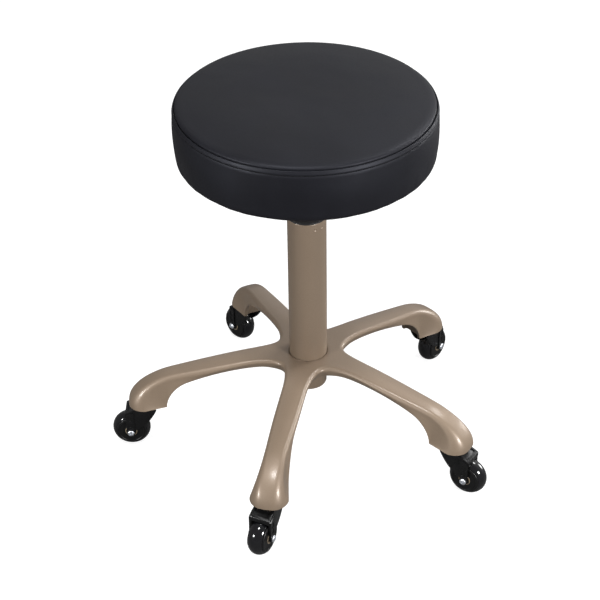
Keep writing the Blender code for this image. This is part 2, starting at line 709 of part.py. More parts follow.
def axle_nut_mesh():
    face = -FORK_HALF - GAP
    bore = AXLE_RADIUS + GAP
    return turned("axle_nut", [
        (0, face - 0.0024), (0.0030, face - 0.0024), (HEAD_RADIUS, face - 0.0012),
        (HEAD_RADIUS, face), (bore, face), (bore, face - 0.0008), (0, face - 0.0008)],
        RINGS["tiny"], axis="Y")


# ---------------------------------------------------------------- assembly

def build_base(frame, materials):
    add_object("base_star", base_star_mesh(), materials["paint"], frame)
    add_object("column_tube", column_tube_mesh(), materials["paint"], frame)
    add_object("guide_bush", guide_bush_mesh(), materials["plastic"], frame)
    floor = TUBE_BOTTOM + 0.0035 + GAP
    washer = ring_mesh("bearing_washer", ROD_NECK + GAP, 0.0140, floor, floor + 0.002)
    add_object("bearing_washer", washer, materials["steel"], frame)


def build_spindle(frame, materials):
    """The rod turns on the thrust bearing and carries everything above it."""
    axis = add_empty("swivel_axis", parent=frame)
    bearing = TUBE_BOTTOM + 0.0035 + 0.002 + 2 * GAP
    buffer = TUBE_BOTTOM + 0.0114 + GAP
    add_object("piston_rod", piston_rod_mesh(), materials["chrome"], axis)
    piston = ring_mesh("piston", ROD_NECK + GAP, CYLINDER_BORE - 0.0004, PISTON_BOTTOM,
                       PISTON_BOTTOM + 0.014)
    add_object("piston", piston, materials["plastic"], axis)
    race = ring_mesh("thrust_bearing", ROD_NECK + GAP, 0.0135, bearing, bearing + 0.0048)
    add_object("thrust_bearing", race, materials["steel"], axis)
    rubber = ring_mesh("rod_buffer", ROD_RADIUS + GAP, 0.0120, buffer, buffer + 0.012)
    add_object("rod_buffer", rubber, materials["rubber"], axis)
    clip = ring_mesh("rod_clip", ROD_NECK + GAP, 0.0080, TUBE_BOTTOM - 0.0024, TUBE_BOTTOM - GAP)
    add_object("rod_clip", clip, materials["steel"], axis)


def build_seat(frame, materials):
    lift = add_empty("lift_axis", parent=frame)
    seal_low = CYLINDER_BOTTOM + 0.0006
    add_object("gas_cylinder", gas_cylinder_mesh(), materials["black_steel"], lift)
    seal = ring_mesh("cylinder_seal", ROD_RADIUS + GAP, CYLINDER_BORE - GAP, seal_low,
                     seal_low + 0.0174)
    add_object("cylinder_seal", seal, materials["rubber"], lift)
    valve = ring_mesh("valve_body", PIN_RADIUS + GAP, CYLINDER_BORE - GAP, 0.396, 0.4117)
    add_object("valve_body", valve, materials["steel"], lift)
    add_object("seat_plate", seat_plate_mesh(), materials["black_steel"], lift)
    add_object("seat_board", seat_board_mesh(), materials["wood"], lift)
    add_object("seat_foam", seat_foam_mesh(), materials["foam"], lift)
    add_object("seat_cover_top", seat_cover_top_mesh(), materials["vinyl"], lift)
    add_object("seat_cover_band", seat_cover_band_mesh(), materials["vinyl"], lift)
    bolt, nut = seat_bolt_mesh(), t_nut_mesh()
    for i, (x, y) in enumerate(bolt_places(), start=1):
        add_object(f"seat_bolt_{i}", bolt, materials["steel"], lift, (x, y, 0))
        add_object(f"t_nut_{i}", nut, materials["steel"], lift, (x, y, 0))
    pivot = add_empty("lever_axis", (0, PIVOT_Y, PIVOT_Z), lift)
    add_object("lever_bracket", lever_bracket_mesh(), materials["black_steel"], pivot)
    add_object("lever_pivot", lever_pivot_mesh(), materials["steel"], pivot)
    add_object("release_lever", release_lever_mesh(), materials["chrome"], pivot)
    add_object("lever_grip", lever_grip_mesh(), materials["plastic"], pivot)
    add_object("release_pin", release_pin_mesh(), materials["steel"], lift)


def build_casters(frame, materials):
    stem, fork, tyre, core = caster_stem_mesh(), fork_mesh(), tyre_mesh(), wheel_core_mesh()
    bolt, nut = axle_bolt_mesh(), axle_nut_mesh()
    for k, heading in enumerate(CASTER_HEADINGS):
        number = k + 1
        turn = FRONT_ARM + ARM_STEP * k + math.radians(heading)
        pivot = add_empty(f"caster_axis_{number}", stem_location(k), frame, turn)
        axle = add_empty(f"wheel_axis_{number}", (TRAIL, 0, WHEEL_RADIUS), pivot)
        add_object(f"caster_stem_{number}", stem, materials["steel"], frame, stem_location(k))
        add_object(f"caster_fork_{number}", fork, materials["plastic"], pivot)
        add_object(f"axle_bolt_{number}", bolt, materials["chrome"], axle)
        add_object(f"axle_nut_{number}", nut, materials["chrome"], axle)
        add_object(f"caster_tyre_{number}", tyre, materials["tyre"], axle)
        add_object(f"wheel_core_{number}", core, materials["plastic"], axle)


def main():
    clear_scene()
    materials = {
        "paint": make_material("champagne_paint", (0.255, 0.198, 0.144), 0.38, 0.35),
        "vinyl": make_material("black_vinyl", (0.022, 0.023, 0.026), 0.52, 0.0),
        "plastic": make_material("black_nylon", (0.012, 0.012, 0.013), 0.35, 0.0),
        "tyre": make_material("black_polyurethane", (0.008, 0.008, 0.010), 0.15, 0.0),
        "chrome": make_material("bright_steel", (0.75, 0.76, 0.78), 0.18, 1.0),
        "steel": make_material("zinc_steel", (0.55, 0.55, 0.56), 0.35, 1.0),
        "black_steel": make_material("black_steel", (0.020, 0.020, 0.022), 0.45, 0.4),
        "rubber": make_material("black_rubber", (0.015, 0.015, 0.015), 0.80, 0.0),
        "foam": make_material("seat_foam", (0.62, 0.55, 0.36), 0.95, 0.0),
        "wood": make_material("plywood", (0.47, 0.31, 0.16), 0.75, 0.0),
    }
    frame = add_empty("floor_frame", (0, 0, -SEAT_TOP))
    build_base(frame, materials)
    build_spindle(frame, materials)
    build_seat(frame, materials)
    build_casters(frame, materials)
    bpy.context.view_layer.update()


main()
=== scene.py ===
"""Looks for the pedicure stool: fine meshes, a simulated cushion and node materials.

Lengths are metres in the row frame. The origin is the centre of the seat's top, +Z is
up, the front arm points along -Y and the release lever along +Y. Heights called floor
heights are measured from the floor, and their objects sit at FLOOR.
"""

import json
import math

import bmesh
import bpy
import numpy as np
from mathutils import Matrix, Vector, noise
from mathutils.kdtree import KDTree

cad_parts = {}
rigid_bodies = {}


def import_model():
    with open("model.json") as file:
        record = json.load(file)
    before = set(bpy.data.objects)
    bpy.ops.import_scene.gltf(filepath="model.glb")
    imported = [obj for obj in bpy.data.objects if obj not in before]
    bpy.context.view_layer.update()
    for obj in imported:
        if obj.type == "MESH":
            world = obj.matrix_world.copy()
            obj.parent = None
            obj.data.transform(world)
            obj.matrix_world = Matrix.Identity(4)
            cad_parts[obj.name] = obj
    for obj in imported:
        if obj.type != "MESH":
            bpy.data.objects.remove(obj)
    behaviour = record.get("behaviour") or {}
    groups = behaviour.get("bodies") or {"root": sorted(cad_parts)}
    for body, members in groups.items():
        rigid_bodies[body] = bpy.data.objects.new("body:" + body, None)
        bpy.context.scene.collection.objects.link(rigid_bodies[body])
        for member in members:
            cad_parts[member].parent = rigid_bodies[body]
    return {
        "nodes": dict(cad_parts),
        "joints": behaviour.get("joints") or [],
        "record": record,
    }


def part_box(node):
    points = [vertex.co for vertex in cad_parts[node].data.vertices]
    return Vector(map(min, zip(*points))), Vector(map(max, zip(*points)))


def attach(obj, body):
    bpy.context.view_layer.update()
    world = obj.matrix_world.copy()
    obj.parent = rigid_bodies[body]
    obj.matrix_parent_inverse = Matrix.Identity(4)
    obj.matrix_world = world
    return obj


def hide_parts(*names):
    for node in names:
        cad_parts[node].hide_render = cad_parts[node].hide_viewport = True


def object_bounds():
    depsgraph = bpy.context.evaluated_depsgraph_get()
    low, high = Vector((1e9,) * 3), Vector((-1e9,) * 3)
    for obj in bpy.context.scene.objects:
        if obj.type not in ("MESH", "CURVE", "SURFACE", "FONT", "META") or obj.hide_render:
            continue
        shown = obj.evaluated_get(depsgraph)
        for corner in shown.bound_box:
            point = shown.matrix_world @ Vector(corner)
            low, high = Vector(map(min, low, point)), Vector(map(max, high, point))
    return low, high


for leftover in list(bpy.data.objects):
    bpy.data.objects.remove(leftover, do_unlink=True)
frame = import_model()
CAD_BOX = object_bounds()
JOINTS = {joint["name"]: joint for joint in frame["joints"]}
FLOOR = CAD_BOX[0].z


def size_of(node):
    """Lowest and highest corner of a CAD node, with z as a floor height."""
    low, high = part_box(node)
    return low - Vector((0, 0, FLOOR)), high - Vector((0, 0, FLOOR))


def middle_of(node):
    """Plan position of a CAD node's middle."""
    low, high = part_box(node)
    return Vector(((low.x + high.x) / 2, (low.y + high.y) / 2, 0))


# ---------------------------------------------------------------- materials

class Nodes:
    """A short way to add and link the nodes of one shader tree."""

    def __init__(self, tree):
        self.tree = tree

    def plug(self, value, socket):
        if isinstance(value, bpy.types.NodeSocket):
            self.tree.links.new(value, socket)
        else:
            socket.default_value = value

    def node(self, kind, output, inputs, **settings):
        made = self.tree.nodes.new("ShaderNode" + kind)
        for key, value in settings.items():
            setattr(made, key, value)
        for key, value in inputs.items():
            self.plug(value, made.inputs[key])
        return made.outputs[output]

    def split(self, eye, others):
        """A shader that camera rays see as eye, and all other rays as others."""
        is_eye = self.node("LightPath", "Is Camera Ray", {})
        return self.node("MixShader", 0, {0: is_eye, 1: others, 2: eye})


class Shader(Nodes):
    """A node material around one Principled BSDF."""

    def __init__(self, name, colour, roughness, metallic=0.0):
        self.material = bpy.data.materials.new(name)
        self.material.use_nodes = True
        self.material.diffuse_color = (*colour, 1.0)
        super().__init__(self.material.node_tree)
        self.surface = self.tree.nodes["Principled BSDF"]
        self.set("Base Color", (*colour, 1.0))
        self.set("Roughness", roughness)
        self.set("Metallic", metallic)
        self.place = self.node("TexCoord", "Object", {})

    def set(self, name, value):
        """Give an input of the surface a value, or link it to another node's output."""
        self.plug(value, self.surface.inputs[name])

    def stretched(self, scale):
        return self.node("Mapping", 0, {"Vector": self.place, "Scale": scale})

    def noise(self, scale, detail=3.0, roughness=0.5, vector=None):
        inputs = {"Vector": vector or self.place, "Scale": scale, "Detail": detail,
                  "Roughness": roughness}
        return self.node("TexNoise", 0, inputs)

    def cells(self, scale, feature="F1", output="Distance", vector=None):
        inputs = {"Vector": vector or self.place, "Scale": scale}
        return self.node("TexVoronoi", output, inputs, feature=feature)

    def remap(self, value, low, high, to_low, to_high):
        inputs = {"Value": value, "From Min": low, "From Max": high,
                  "To Min": to_low, "To Max": to_high}
        return self.node("MapRange", 0, inputs)

    def mix(self, factor, first, second):
        first, second = ((*c, 1.0) if isinstance(c, tuple) else c for c in (first, second))
        return self.node("Mix", 2, {0: factor, 6: first, 7: second}, data_type="RGBA")

    def maths(self, operation, first, second):
        return self.node("Math", 0, {0: first, 1: second}, operation=operation)

    def bump(self, height, strength, distance, under=None):
        inputs = {"Height": height, "Strength": strength, "Distance": distance}
        if under is not None:
            inputs["Normal"] = under
        return self.node("Bump", 0, inputs)

    def mottle(self, pattern, low, high, first, second, amount=1.0):
        """Run the base colour from first towards second over a pattern's range."""
        self.set("Base Color", self.mix(self.remap(pattern, low, high, 0.0, amount), first, second))

    def sheen(self, pattern, low, high, least, most):
        """Run the roughness from least to most over a pattern's range."""
        self.set("Roughness", self.remap(pattern, low, high, least, most))

    def relief(self, height, strength, distance, under=None):
        self.set("Normal", self.bump(height, strength, distance, under))


def paint_material():
    """Champagne paint with a fine metallic flake under a satin coat."""
    made = Shader("champagne_paint", (0.215, 0.160, 0.112), 0.45, 0.22)
    flake = made.node("SeparateColor", 0, {"Color": made.cells(2600.0, output="Color")})
    drift = made.remap(made.noise(9.0, 2.0), 0.3, 0.7, 0.0, 1.0)
    tone = made.mix(drift, (0.208, 0.152, 0.106), (0.230, 0.171, 0.120))
    made.mottle(flake, 0.0, 1.0, tone, (0.33, 0.26, 0.195), 0.22)
    made.sheen(made.noise(60.0, 4.0), 0.3, 0.7, 0.42, 0.50)
    made.set("Coat Weight", 0.35)
    made.set("Coat Roughness", 0.20)
    made.relief(flake, 0.03, 0.0001, made.bump(made.noise(420.0, 2.0), 0.10, 0.0004))
    return made.material


def vinyl_material():
    """Black upholstery vinyl: small pebbled grain, with a soft sheen."""
    made = Shader("black_vinyl", (0.0050, 0.0051, 0.0070), 0.54)
    drift = made.node("TexNoise", "Color", {"Vector": made.place, "Scale": 500.0, "Detail": 1.0})
    small = made.node("VectorMath", 0, {0: drift, 1: (0.0006, 0.0006, 0.0006)}, operation="MULTIPLY")
    warped = made.node("VectorMath", 0, {0: made.place, 1: small}, operation="ADD")
    pebbles = made.cells(900.0, feature="SMOOTH_F1", vector=warped)
    valleys = made.remap(pebbles, 0.25, 0.75, 0.0, 1.0)
    fine = made.maths("MULTIPLY", made.noise(2600.0, 2.0), 0.3)
    broad = made.noise(14.0, 3.0)
    made.mottle(broad, 0.3, 0.7, (0.0043, 0.0042, 0.0058), (0.0060, 0.0061, 0.0086))
    made.sheen(made.maths("ADD", broad, made.maths("MULTIPLY", valleys, 0.3)), 0.3, 1.0, 0.48, 0.60)
    made.set("Specular IOR Level", 0.30)
    made.set("Specular Tint", (0.85, 0.88, 1.0, 1.0))
    made.relief(made.maths("ADD", made.maths("MULTIPLY", valleys, -0.8), fine), 0.16, 0.00025)
    return made.material


def plastic_material(name, tone, roughness, texture, relief):
    """Moulded black nylon with a fine spark-eroded texture and faint flow marks."""
    dark = (tone, tone, tone * 1.06)
    light = (tone * 1.5, tone * 1.5, tone * 1.575)
    made = Shader(name, dark, roughness)
    flow = made.noise(70.0, 4.0, vector=made.stretched((1.0, 1.0, 0.35)))
    made.mottle(flow, 0.35, 0.7, dark, light)
    made.sheen(made.noise(180.0, 5.0), 0.3, 0.7, roughness - 0.06, roughness + 0.08)
    made.set("Specular IOR Level", 0.38)
    made.relief(made.noise(texture, 3.0), relief, 0.0002)
    return made.material


def tread_material():
    """Glossy black polyurethane with a little dust and fine rolling scuffs."""
    black = (0.004, 0.004, 0.005)
    made = Shader("glossy_tread", black, 0.09)
    made.mottle(made.noise(160.0, 5.0, 0.65), 0.55, 0.80, black, (0.014, 0.013, 0.012), 0.35)
    scuffs = made.noise(900.0, 4.0, vector=made.stretched((1.0, 0.12, 1.0)))
    made.sheen(scuffs, 0.35, 0.75, 0.07, 0.19)
    made.set("Coat Weight", 0.5)
    made.set("Coat Roughness", 0.05)
    made.relief(made.noise(55.0, 2.0), 0.05, 0.0006)
    return made.material


def metal_material(name, colour, roughness, brushing=(1.0, 1.0, 1.0), spots=0.0):
    """Plated steel with fine turning marks, and dull spots if asked."""
    made = Shader(name, colour, roughness, 1.0)
    marks = made.noise(380.0, 5.0, vector=made.stretched(brushing))
    made.sheen(marks, 0.3, 0.75, roughness * 0.7, roughness * 1.5)
    shade = tuple(c * 0.55 for c in colour)
    made.mottle(made.noise(210.0, 4.0, 0.6), 0.55, 0.75, colour, shade, spots)
    made.relief(marks, 0.05, 0.0001)
    return made.material


def powder_coat_material():
    """Black powder coat with a pebbled skin, a little paler where it is worn."""
    black = (0.016, 0.016, 0.018)
    made = Shader("black_powder_coat", black, 0.42, 0.1)
    made.mottle(made.noise(45.0, 5.0, 0.6), 0.62, 0.78, black, (0.034, 0.034, 0.036), 0.5)
    skin = made.noise(850.0, 3.0)
    made.sheen(skin, 0.3, 0.7, 0.36, 0.52)
    made.relief(skin, 0.22, 0.0003)
    return made.material


def rubber_material():
    """Matt black rubber with a grey bloom."""
    black = (0.018, 0.018, 0.019)
    made = Shader("matt_rubber", black, 0.78)
    made.mottle(made.noise(130.0, 5.0, 0.6), 0.45, 0.75, black, (0.045, 0.044, 0.043), 0.5)
    made.relief(made.noise(1500.0, 2.0), 0.2, 0.0002)
    return made.material


def plywood_material():
    """Birch plywood: streaked faces with fine pores."""
    made = Shader("birch_plywood", (0.50, 0.36, 0.21), 0.62)
    streaks = made.noise(16.0, 6.0, 0.62, vector=made.stretched((1.0, 11.0, 60.0)))
    pores = made.noise(240.0, 3.0, 0.5, vector=made.stretched((0.12, 1.0, 4.0)))
    tone = made.mix(made.remap(streaks, 0.35, 0.68, 0.0, 1.0), (0.42, 0.28, 0.15), (0.60, 0.45, 0.28))
    made.mottle(pores, 0.60, 0.80, tone, (0.22, 0.13, 0.06), 0.45)
    made.sheen(streaks, 0.3, 0.7, 0.55, 0.75)
    made.relief(pores, 0.25, 0.0003)
    return made.material


def foam_material():
    """Open-cell foam."""
    made = Shader("open_cell_foam", (0.70, 0.63, 0.45), 0.95)
    cells = made.cells(700.0)
    made.mottle(cells, 0.1, 0.7, (0.42, 0.36, 0.23), (0.78, 0.72, 0.55))
    made.relief(cells, 0.5, 0.0006)
    return made.material


def thread_material():
    """Black bonded thread with its twist."""
    made = Shader("black_thread", (0.004, 0.004, 0.005), 0.75)
    twist = made.noise(4200.0, 2.0, vector=made.stretched((1.0, 1.0, 0.5)))
    made.set("Base Color", made.mix(twist, (0.003, 0.003, 0.004), (0.009, 0.009, 0.010)))
    made.set("Specular IOR Level", 0.2)
    made.relief(twist, 0.4, 0.0002)
    return made.material


def ring_material():
    """The pale moulded ring on a wheel's face."""
    made = Shader("pale_ring", (0.33, 0.26, 0.18), 0.38)
    speck = made.noise(900.0, 4.0)
    made.mottle(speck, 0.35, 0.7, (0.26, 0.20, 0.13), (0.38, 0.31, 0.22))
    made.relief(speck, 0.1, 0.0001)
    return made.material


GAP = 0.0003                      # running gap between neighbouring pieces
MATERIALS = {
    "base_paint": paint_material(),
    "vinyl": vinyl_material(),
    "bush_plastic": plastic_material("black_nylon", 0.014, 0.42, 1400.0, 0.10),
    "grip_plastic": plastic_material("grip_nylon", 0.015, 0.50, 1100.0, 0.25),
    "fork_plastic": plastic_material("fork_nylon", 0.0040, 0.30, 1300.0, 0.07),
    "wheel_plastic": plastic_material("wheel_nylon", 0.0036, 0.34, 1600.0, 0.05),
    "tread": tread_material(),
    "bright_steel": metal_material("bright_steel", (0.80, 0.82, 0.84), 0.22),
    "zinc_steel": metal_material("zinc_steel", (0.58, 0.58, 0.60), 0.34, (1.0, 1.0, 6.0), 0.5),
    "black_steel": powder_coat_material(),
    "seal_rubber": rubber_material(),
    "plywood": plywood_material(),
    "foam": foam_material(),
}
SCREW_ZINC = metal_material("screw_zinc", (0.90, 0.93, 0.98), 0.40)
THREAD = thread_material()
PALE_RING = ring_material()


# ---------------------------------------------------------------- mesh helpers

def mesh_from(name, points, faces, sharp=35.0):
    """Mesh data from points and faces, facing out, smooth except over sharp edges."""
    bm = bmesh.new()
    verts = [bm.verts.new(p) for p in points]
    for face in faces:
        unique = list(dict.fromkeys(face))
        if len(unique) > 2:
            bm.faces.new([verts[i] for i in unique])
    return mesh_of(name, bm, sharp)


def mesh_of(name, bm, sharp=35.0):
    bmesh.ops.recalc_face_normals(bm, faces=bm.faces)
    mesh = bpy.data.meshes.new(name)
    bm.to_mesh(mesh)
    bm.free()
    mesh.shade_smooth()
    mesh.set_sharp_from_angle(angle=math.radians(sharp))
    return mesh


def rounded(corners, steps=4):
    """Replace each (x, y, radius) corner of a closed outline with an arc."""
    points = []
    for i, (x, y, radius) in enumerate(corners):
        here = Vector((x, y))
        before = Vector(corners[i - 1][:2]) - here
        after = Vector(corners[(i + 1) % len(corners)][:2]) - here
        if radius <= 0:
            points.append(here)
            continue
        half_turn = before.angle(after) / 2
        reach = min(radius / math.tan(half_turn), 0.48 * before.length, 0.48 * after.length)
        start = here + before.normalized() * reach
        end = here + after.normalized() * reach
        middle = (before.normalized() + after.normalized()).normalized()
        centre = here + middle * (reach / math.cos(half_turn))
        first, last = start - centre, end - centre
        angle = first.angle(last)
        for k in range(steps + 1):
            t = k / steps
            points.append(centre + (first * math.sin((1 - t) * angle) + last * math.sin(t * angle))
                          / math.sin(angle))
    return points


def turned(name, profile, segments=96, axis="Z", shape=None, sharp=35.0):
    """Revolve a closed (radius, height) profile; shape(point) may then move points."""
    points, rings = [], []
    for radius, height in profile:
        on_axis = radius < 1e-7
        rings.append([len(points) + (0 if on_axis else i) for i in range(segments)])
        for i in range(1 if on_axis else segments):
            a = 2 * math.pi * i / segments
            point = Vector((radius * math.cos(a), radius * math.sin(a), height))
            points.append(shape(point) if shape else point)
    faces = []
    for ring, following in zip(rings, rings[1:] + rings[:1]):
        for i in range(segments):
            j = (i + 1) % segments
            faces.append((ring[i], ring[j], following[j], following[i]))
    if axis == "Y":
        points = [Vector((p.x, p.z, -p.y)) for p in points]
    return mesh_from(name, points, faces, sharp)


def prism(name, outline, low, high):
    """Extrude an (x, z) outline along Y from low to high."""
    bm = bmesh.new()
    near = bm.faces.new([bm.verts.new((x, low, z)) for x, z in outline])
    grown = bmesh.ops.extrude_face_region(bm, geom=[near])["geom"]
    moved = [item for item in grown if isinstance(item, bmesh.types.BMVert)]
    bmesh.ops.translate(bm, verts=moved, vec=(0, high - low, 0))
    return mesh_of(name, bm)


def evaluated_mesh(obj):
    """A new mesh with the object's modifiers applied."""
    bpy.context.view_layer.update()
    return bpy.data.meshes.new_from_object(obj.evaluated_get(bpy.context.evaluated_depsgraph_get()))


def drill(radius, low, high):
    """Profile of a plain round bar."""
    return [(0, low), (radius, low), (radius, high), (0, high)]


def carve(mesh, cutters=(), added=(), bevel=0.0, steps=2):
    """Join meshes to a mesh, take cutters out of it, then bevel its sharp edges."""
    body = bpy.data.objects.new("carved", mesh)
    bpy.context.collection.objects.link(body)
    tools = []
    for other, operation in [(m, "UNION") for m in added] + [(m, "DIFFERENCE") for m in cutters]:
        tool = bpy.data.objects.new("tool", other)
        bpy.context.collection.objects.link(tool)
        tools.append(tool)
        modifier = body.modifiers.new("boolean", "BOOLEAN")
        modifier.operation = operation
        modifier.solver = "EXACT"
        modifier.object = tool
    if bevel:
        modifier = body.modifiers.new("bevel", "BEVEL")
        modifier.width = bevel
        modifier.segments = steps
        modifier.limit_method = "ANGLE"
        modifier.angle_limit = math.radians(40)
    result = evaluated_mesh(body)
    result.name = mesh.name
    result.materials.clear()
    result.shade_smooth()
    result.set_sharp_from_angle(angle=math.radians(30))
    for obj in [body] + tools:
        bpy.data.objects.remove(obj, do_unlink=True)
    return result


def piece(name, mesh, body, slot, nodes=(), matrix=None, material=None):
    """Put a fine piece in place, on its body, standing for the CAD nodes it replaces."""
    obj = bpy.data.objects.new(name, mesh)
    bpy.context.collection.objects.link(obj)
    obj.matrix_world = matrix or Matrix.Translation((0, 0, FLOOR))
    if not mesh.materials:
        mesh.materials.append(material or MATERIALS[slot])
    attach(obj, body)
    if nodes:
        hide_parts(*nodes)
    return obj


def smooth_step(value, low, high):
    t = min(max((value - low) / (high - low), 0.0), 1.0)
    return t * t * (3 - 2 * t)


# ---------------------------------------------------------------- cast base

ARMS = 5
ARM_STEP = 2 * math.pi / ARMS
HUB_TOP = size_of("base_star")[1].z
FOOT_BOTTOM = size_of("base_star")[0].z
HUB_BORE = 0.0256
SLEEVE_RADIUS = 0.0305
SLEEVE_BOTTOM = 0.112
WEB_RADIUS = 0.047
WEB_EDGE_HEIGHT = 0.1262
WEB_DROOP = 0.002
WAIST_START = 0.090
WAIST = 0.0162
HEEL = 0.192
HEEL_HALF = 0.0178
HEEL_DRAFT = 0.0034
FOOT_HALF = 0.0250
NOSE_START = 0.181
NOSE_TIP = -size_of("base_star")[0].y
NOSE_POWER = 2.15
WALL = 0.0042
SKIN = 0.0048
CAVITY_END = 0.1965
HALF_COLUMNS = 8
SHOULDER_STEPS = 12
WALL_ROWS = 4
RIM_STEPS = 3
RIM_ROUND = 0.0009


def arm_fall(reach):
    """How far the arm has fallen below the hub: level at first, then a steady slope."""
    knee_start, knee_end, slope = 0.050, 0.110, 0.19
    if reach < knee_start:
        return 0.0
    if reach < knee_end:
        return slope * (reach - knee_start) ** 2 / (2 * (knee_end - knee_start))
    return slope * (reach - (knee_start + knee_end) / 2)


def arm_top(reach):
    """Height of the arm's top, which turns down over the nose of the foot."""
    height = HUB_TOP - arm_fall(reach) - FOOT_BOTTOM
    if reach > NOSE_START:
        across = min((reach - NOSE_START) / (NOSE_TIP - NOSE_START), 1.0)
        height *= (1 - across ** NOSE_POWER) ** (1 / NOSE_POWER)
    return FOOT_BOTTOM + height


def arm_underside(reach):
    """Height of the side wall's lower edge: a flat arch that drops to the heel."""
    apex = WEB_RADIUS * math.cos(ARM_STEP / 2)
    arch_start, fall = 0.165, 1.25
    height = WEB_EDGE_HEIGHT - fall * (reach - apex) ** 2
    height -= WEB_DROOP * (1 - smooth_step(reach, apex, 0.065))
    if reach <= arch_start:
        return height
    drop = WEB_EDGE_HEIGHT - fall * (HEEL - apex) ** 2 - FOOT_BOTTOM
    across = min((reach - arch_start) / (HEEL - arch_start), 1.0)
    return height - drop * (1 - math.sqrt(1 - across ** 2))


def arm_edge(t):
    """Plan point of the arm's edge: a curve from the web (t = 0) to the heel (t = 1)."""
    half_step = ARM_STEP / 2
    apex = Vector((math.cos(half_step), math.sin(half_step))) * WEB_RADIUS
    along = Vector((math.sin(half_step), -math.cos(half_step)))
    waist_t = 0.5
    if t < waist_t:
        u = t / waist_t
        a, b = apex, apex + along * 0.009
        c, d = Vector((0.060, WAIST)), Vector((WAIST_START, WAIST))
        return a * (1 - u) ** 3 + b * 3 * u * (1 - u) ** 2 + c * 3 * u * u * (1 - u) + d * u ** 3
    u = (t - waist_t) / (1 - waist_t)
    reach = WAIST_START + (HEEL - WAIST_START) * math.sin(u * math.pi / 2)
    return Vector((reach, WAIST + (HEEL_HALF - WAIST) * smooth_step(reach, 0.150, HEEL)))


def shoulder_size(reach):
    """Width and depth of the arm's rounded shoulder, growing towards the foot."""
    width = 0.0054 + 0.0014 * smooth_step(reach, 0.050, HEEL)
    depth = 0.0048 + 0.0028 * smooth_step(reach, 0.060, HEEL)
    return width, depth


def wall_draft(reach):
    """How much narrower than the heel the top of the side wall is."""
    return HEEL_DRAFT * smooth_step(reach, 0.140, HEEL)


def wall_undercut(reach):
    """How far the side wall leans in towards its lower edge, half-way along the arm."""
    return 0.0026 * (1 - smooth_step(reach, 0.105, HEEL))


def arm_section(t, inside):
    """Half section of the arm at t, from its centre line to the wall's rounded rim."""
    step = 0.01
    edge = arm_edge(t)
    tangent = arm_edge(min(t + step, 1)) - arm_edge(max(t - step, 0))
    inward = Vector((tangent.y, -tangent.x)).normalized()
    if t == 0:
        inward = -edge.normalized()
    if t == 1:
        inward = Vector((0, -1))
    radius, depth = shoulder_size(edge.x)
    centre = edge.x + 0.005 * (1 - smooth_step(edge.x, 0.036, 0.110))
    rim = arm_underside(edge.x)
    rim_round = RIM_ROUND * (1 - smooth_step(edge.x, HEEL - 0.008, HEEL))
    foot_edge = edge + inward * wall_undercut(edge.x)
    edge = edge + inward * wall_draft(edge.x)
    skin, rim_side = 0.0, inward
    if inside:
        edge, foot_edge = edge + inward * WALL, foot_edge + inward * WALL
        radius, depth, skin, rim_side = radius * 0.5, depth * 0.5, SKIN, -inward
    inner_end = edge + inward * radius
    points = []
    for j in range(HALF_COLUMNS + 1):
        f = j / HALF_COLUMNS
        x = centre + (inner_end.x - centre) * f * f
        y = inner_end.y * f
        crown = 0.0026 * (y / WAIST) ** 2 * smooth_step(x, 0.050, 0.110)
        points.append(Vector((x, y, arm_top(math.hypot(x, y)) - crown - skin)))
    shoulder = points[-1].z
    for j in range(1, SHOULDER_STEPS + 1):
        a = math.pi / 2 * j / SHOULDER_STEPS
        plan = edge + inward * radius * (1 - math.sin(a))
        points.append(Vector((plan.x, plan.y, shoulder - depth * (1 - math.cos(a)))))
    wall_top = points[-1].z
    for j in range(1, WALL_ROWS + 1):
        share = j / WALL_ROWS
        plan = edge.lerp(foot_edge, share)
        points.append(Vector((plan.x, plan.y, wall_top + (rim + rim_round - wall_top) * share)))
    for j in range(1, RIM_STEPS + 1):
        a = math.pi / 2 * j / RIM_STEPS
        plan = foot_edge + rim_side * rim_round * (1 - math.cos(a))
        points.append(Vector((plan.x, plan.y, rim + rim_round * (1 - math.sin(a)))))
    return points


def foot_section(angle, inside):
    """Half section of the foot, in a plane through the heel edge that tips forwards."""
    reach = NOSE_START + (NOSE_TIP - NOSE_START) * math.sin(angle) ** (2 / NOSE_POWER)
    height = arm_top(reach) - FOOT_BOTTOM
    depth = math.hypot(reach - HEEL, height)
    along = Vector(((reach - HEEL) / depth, height / depth))
    forward = 1 - along.y
    spread = HEEL_HALF - HEEL_DRAFT + (FOOT_HALF - HEEL_HALF + HEEL_DRAFT) * forward
    start = HEEL_HALF
    corner = Vector(shoulder_size(HEEL)).yx
    corner += (Vector((0.0215, 0.0200)) - corner) * forward
    crown = 0.0015
    if inside:
        wall_distance = (CAVITY_END - HEEL) / max(along.x, 1e-6)
        depth = min(depth - SKIN, wall_distance)
        start = start - WALL
        spread = min(spread, HEEL_HALF) - WALL
        corner = Vector(shoulder_size(HEEL)).yx * 0.5
        crown = 0.0
    points = []
    for j in range(HALF_COLUMNS + 1):
        across = (spread - corner.y) * j / HALF_COLUMNS
        points.append((depth - crown * (across / WAIST) ** 2, across))
    shoulder = points[-1][0]
    for j in range(1, SHOULDER_STEPS + 1):
        a = math.pi / 2 * j / SHOULDER_STEPS
        points.append((shoulder - corner.x * (1 - math.cos(a)),
                       spread - corner.y * (1 - math.sin(a))))
    below = points[-1][0]
    for j in range(1, WALL_ROWS + 1):
        share = j / WALL_ROWS
        points.append((below * (1 - share), spread + (start - spread) * share))
    points += [(0.0, start)] * RIM_STEPS
    return [Vector((HEEL + along.x * d, y, FOOT_BOTTOM + along.y * d)) for d, y in points]


def full_section(half):
    """Mirror a half section to run from one lower edge to the other."""
    left = [Vector((p.x, -p.y, p.z)) for p in reversed(half[1:])]
    return left + half


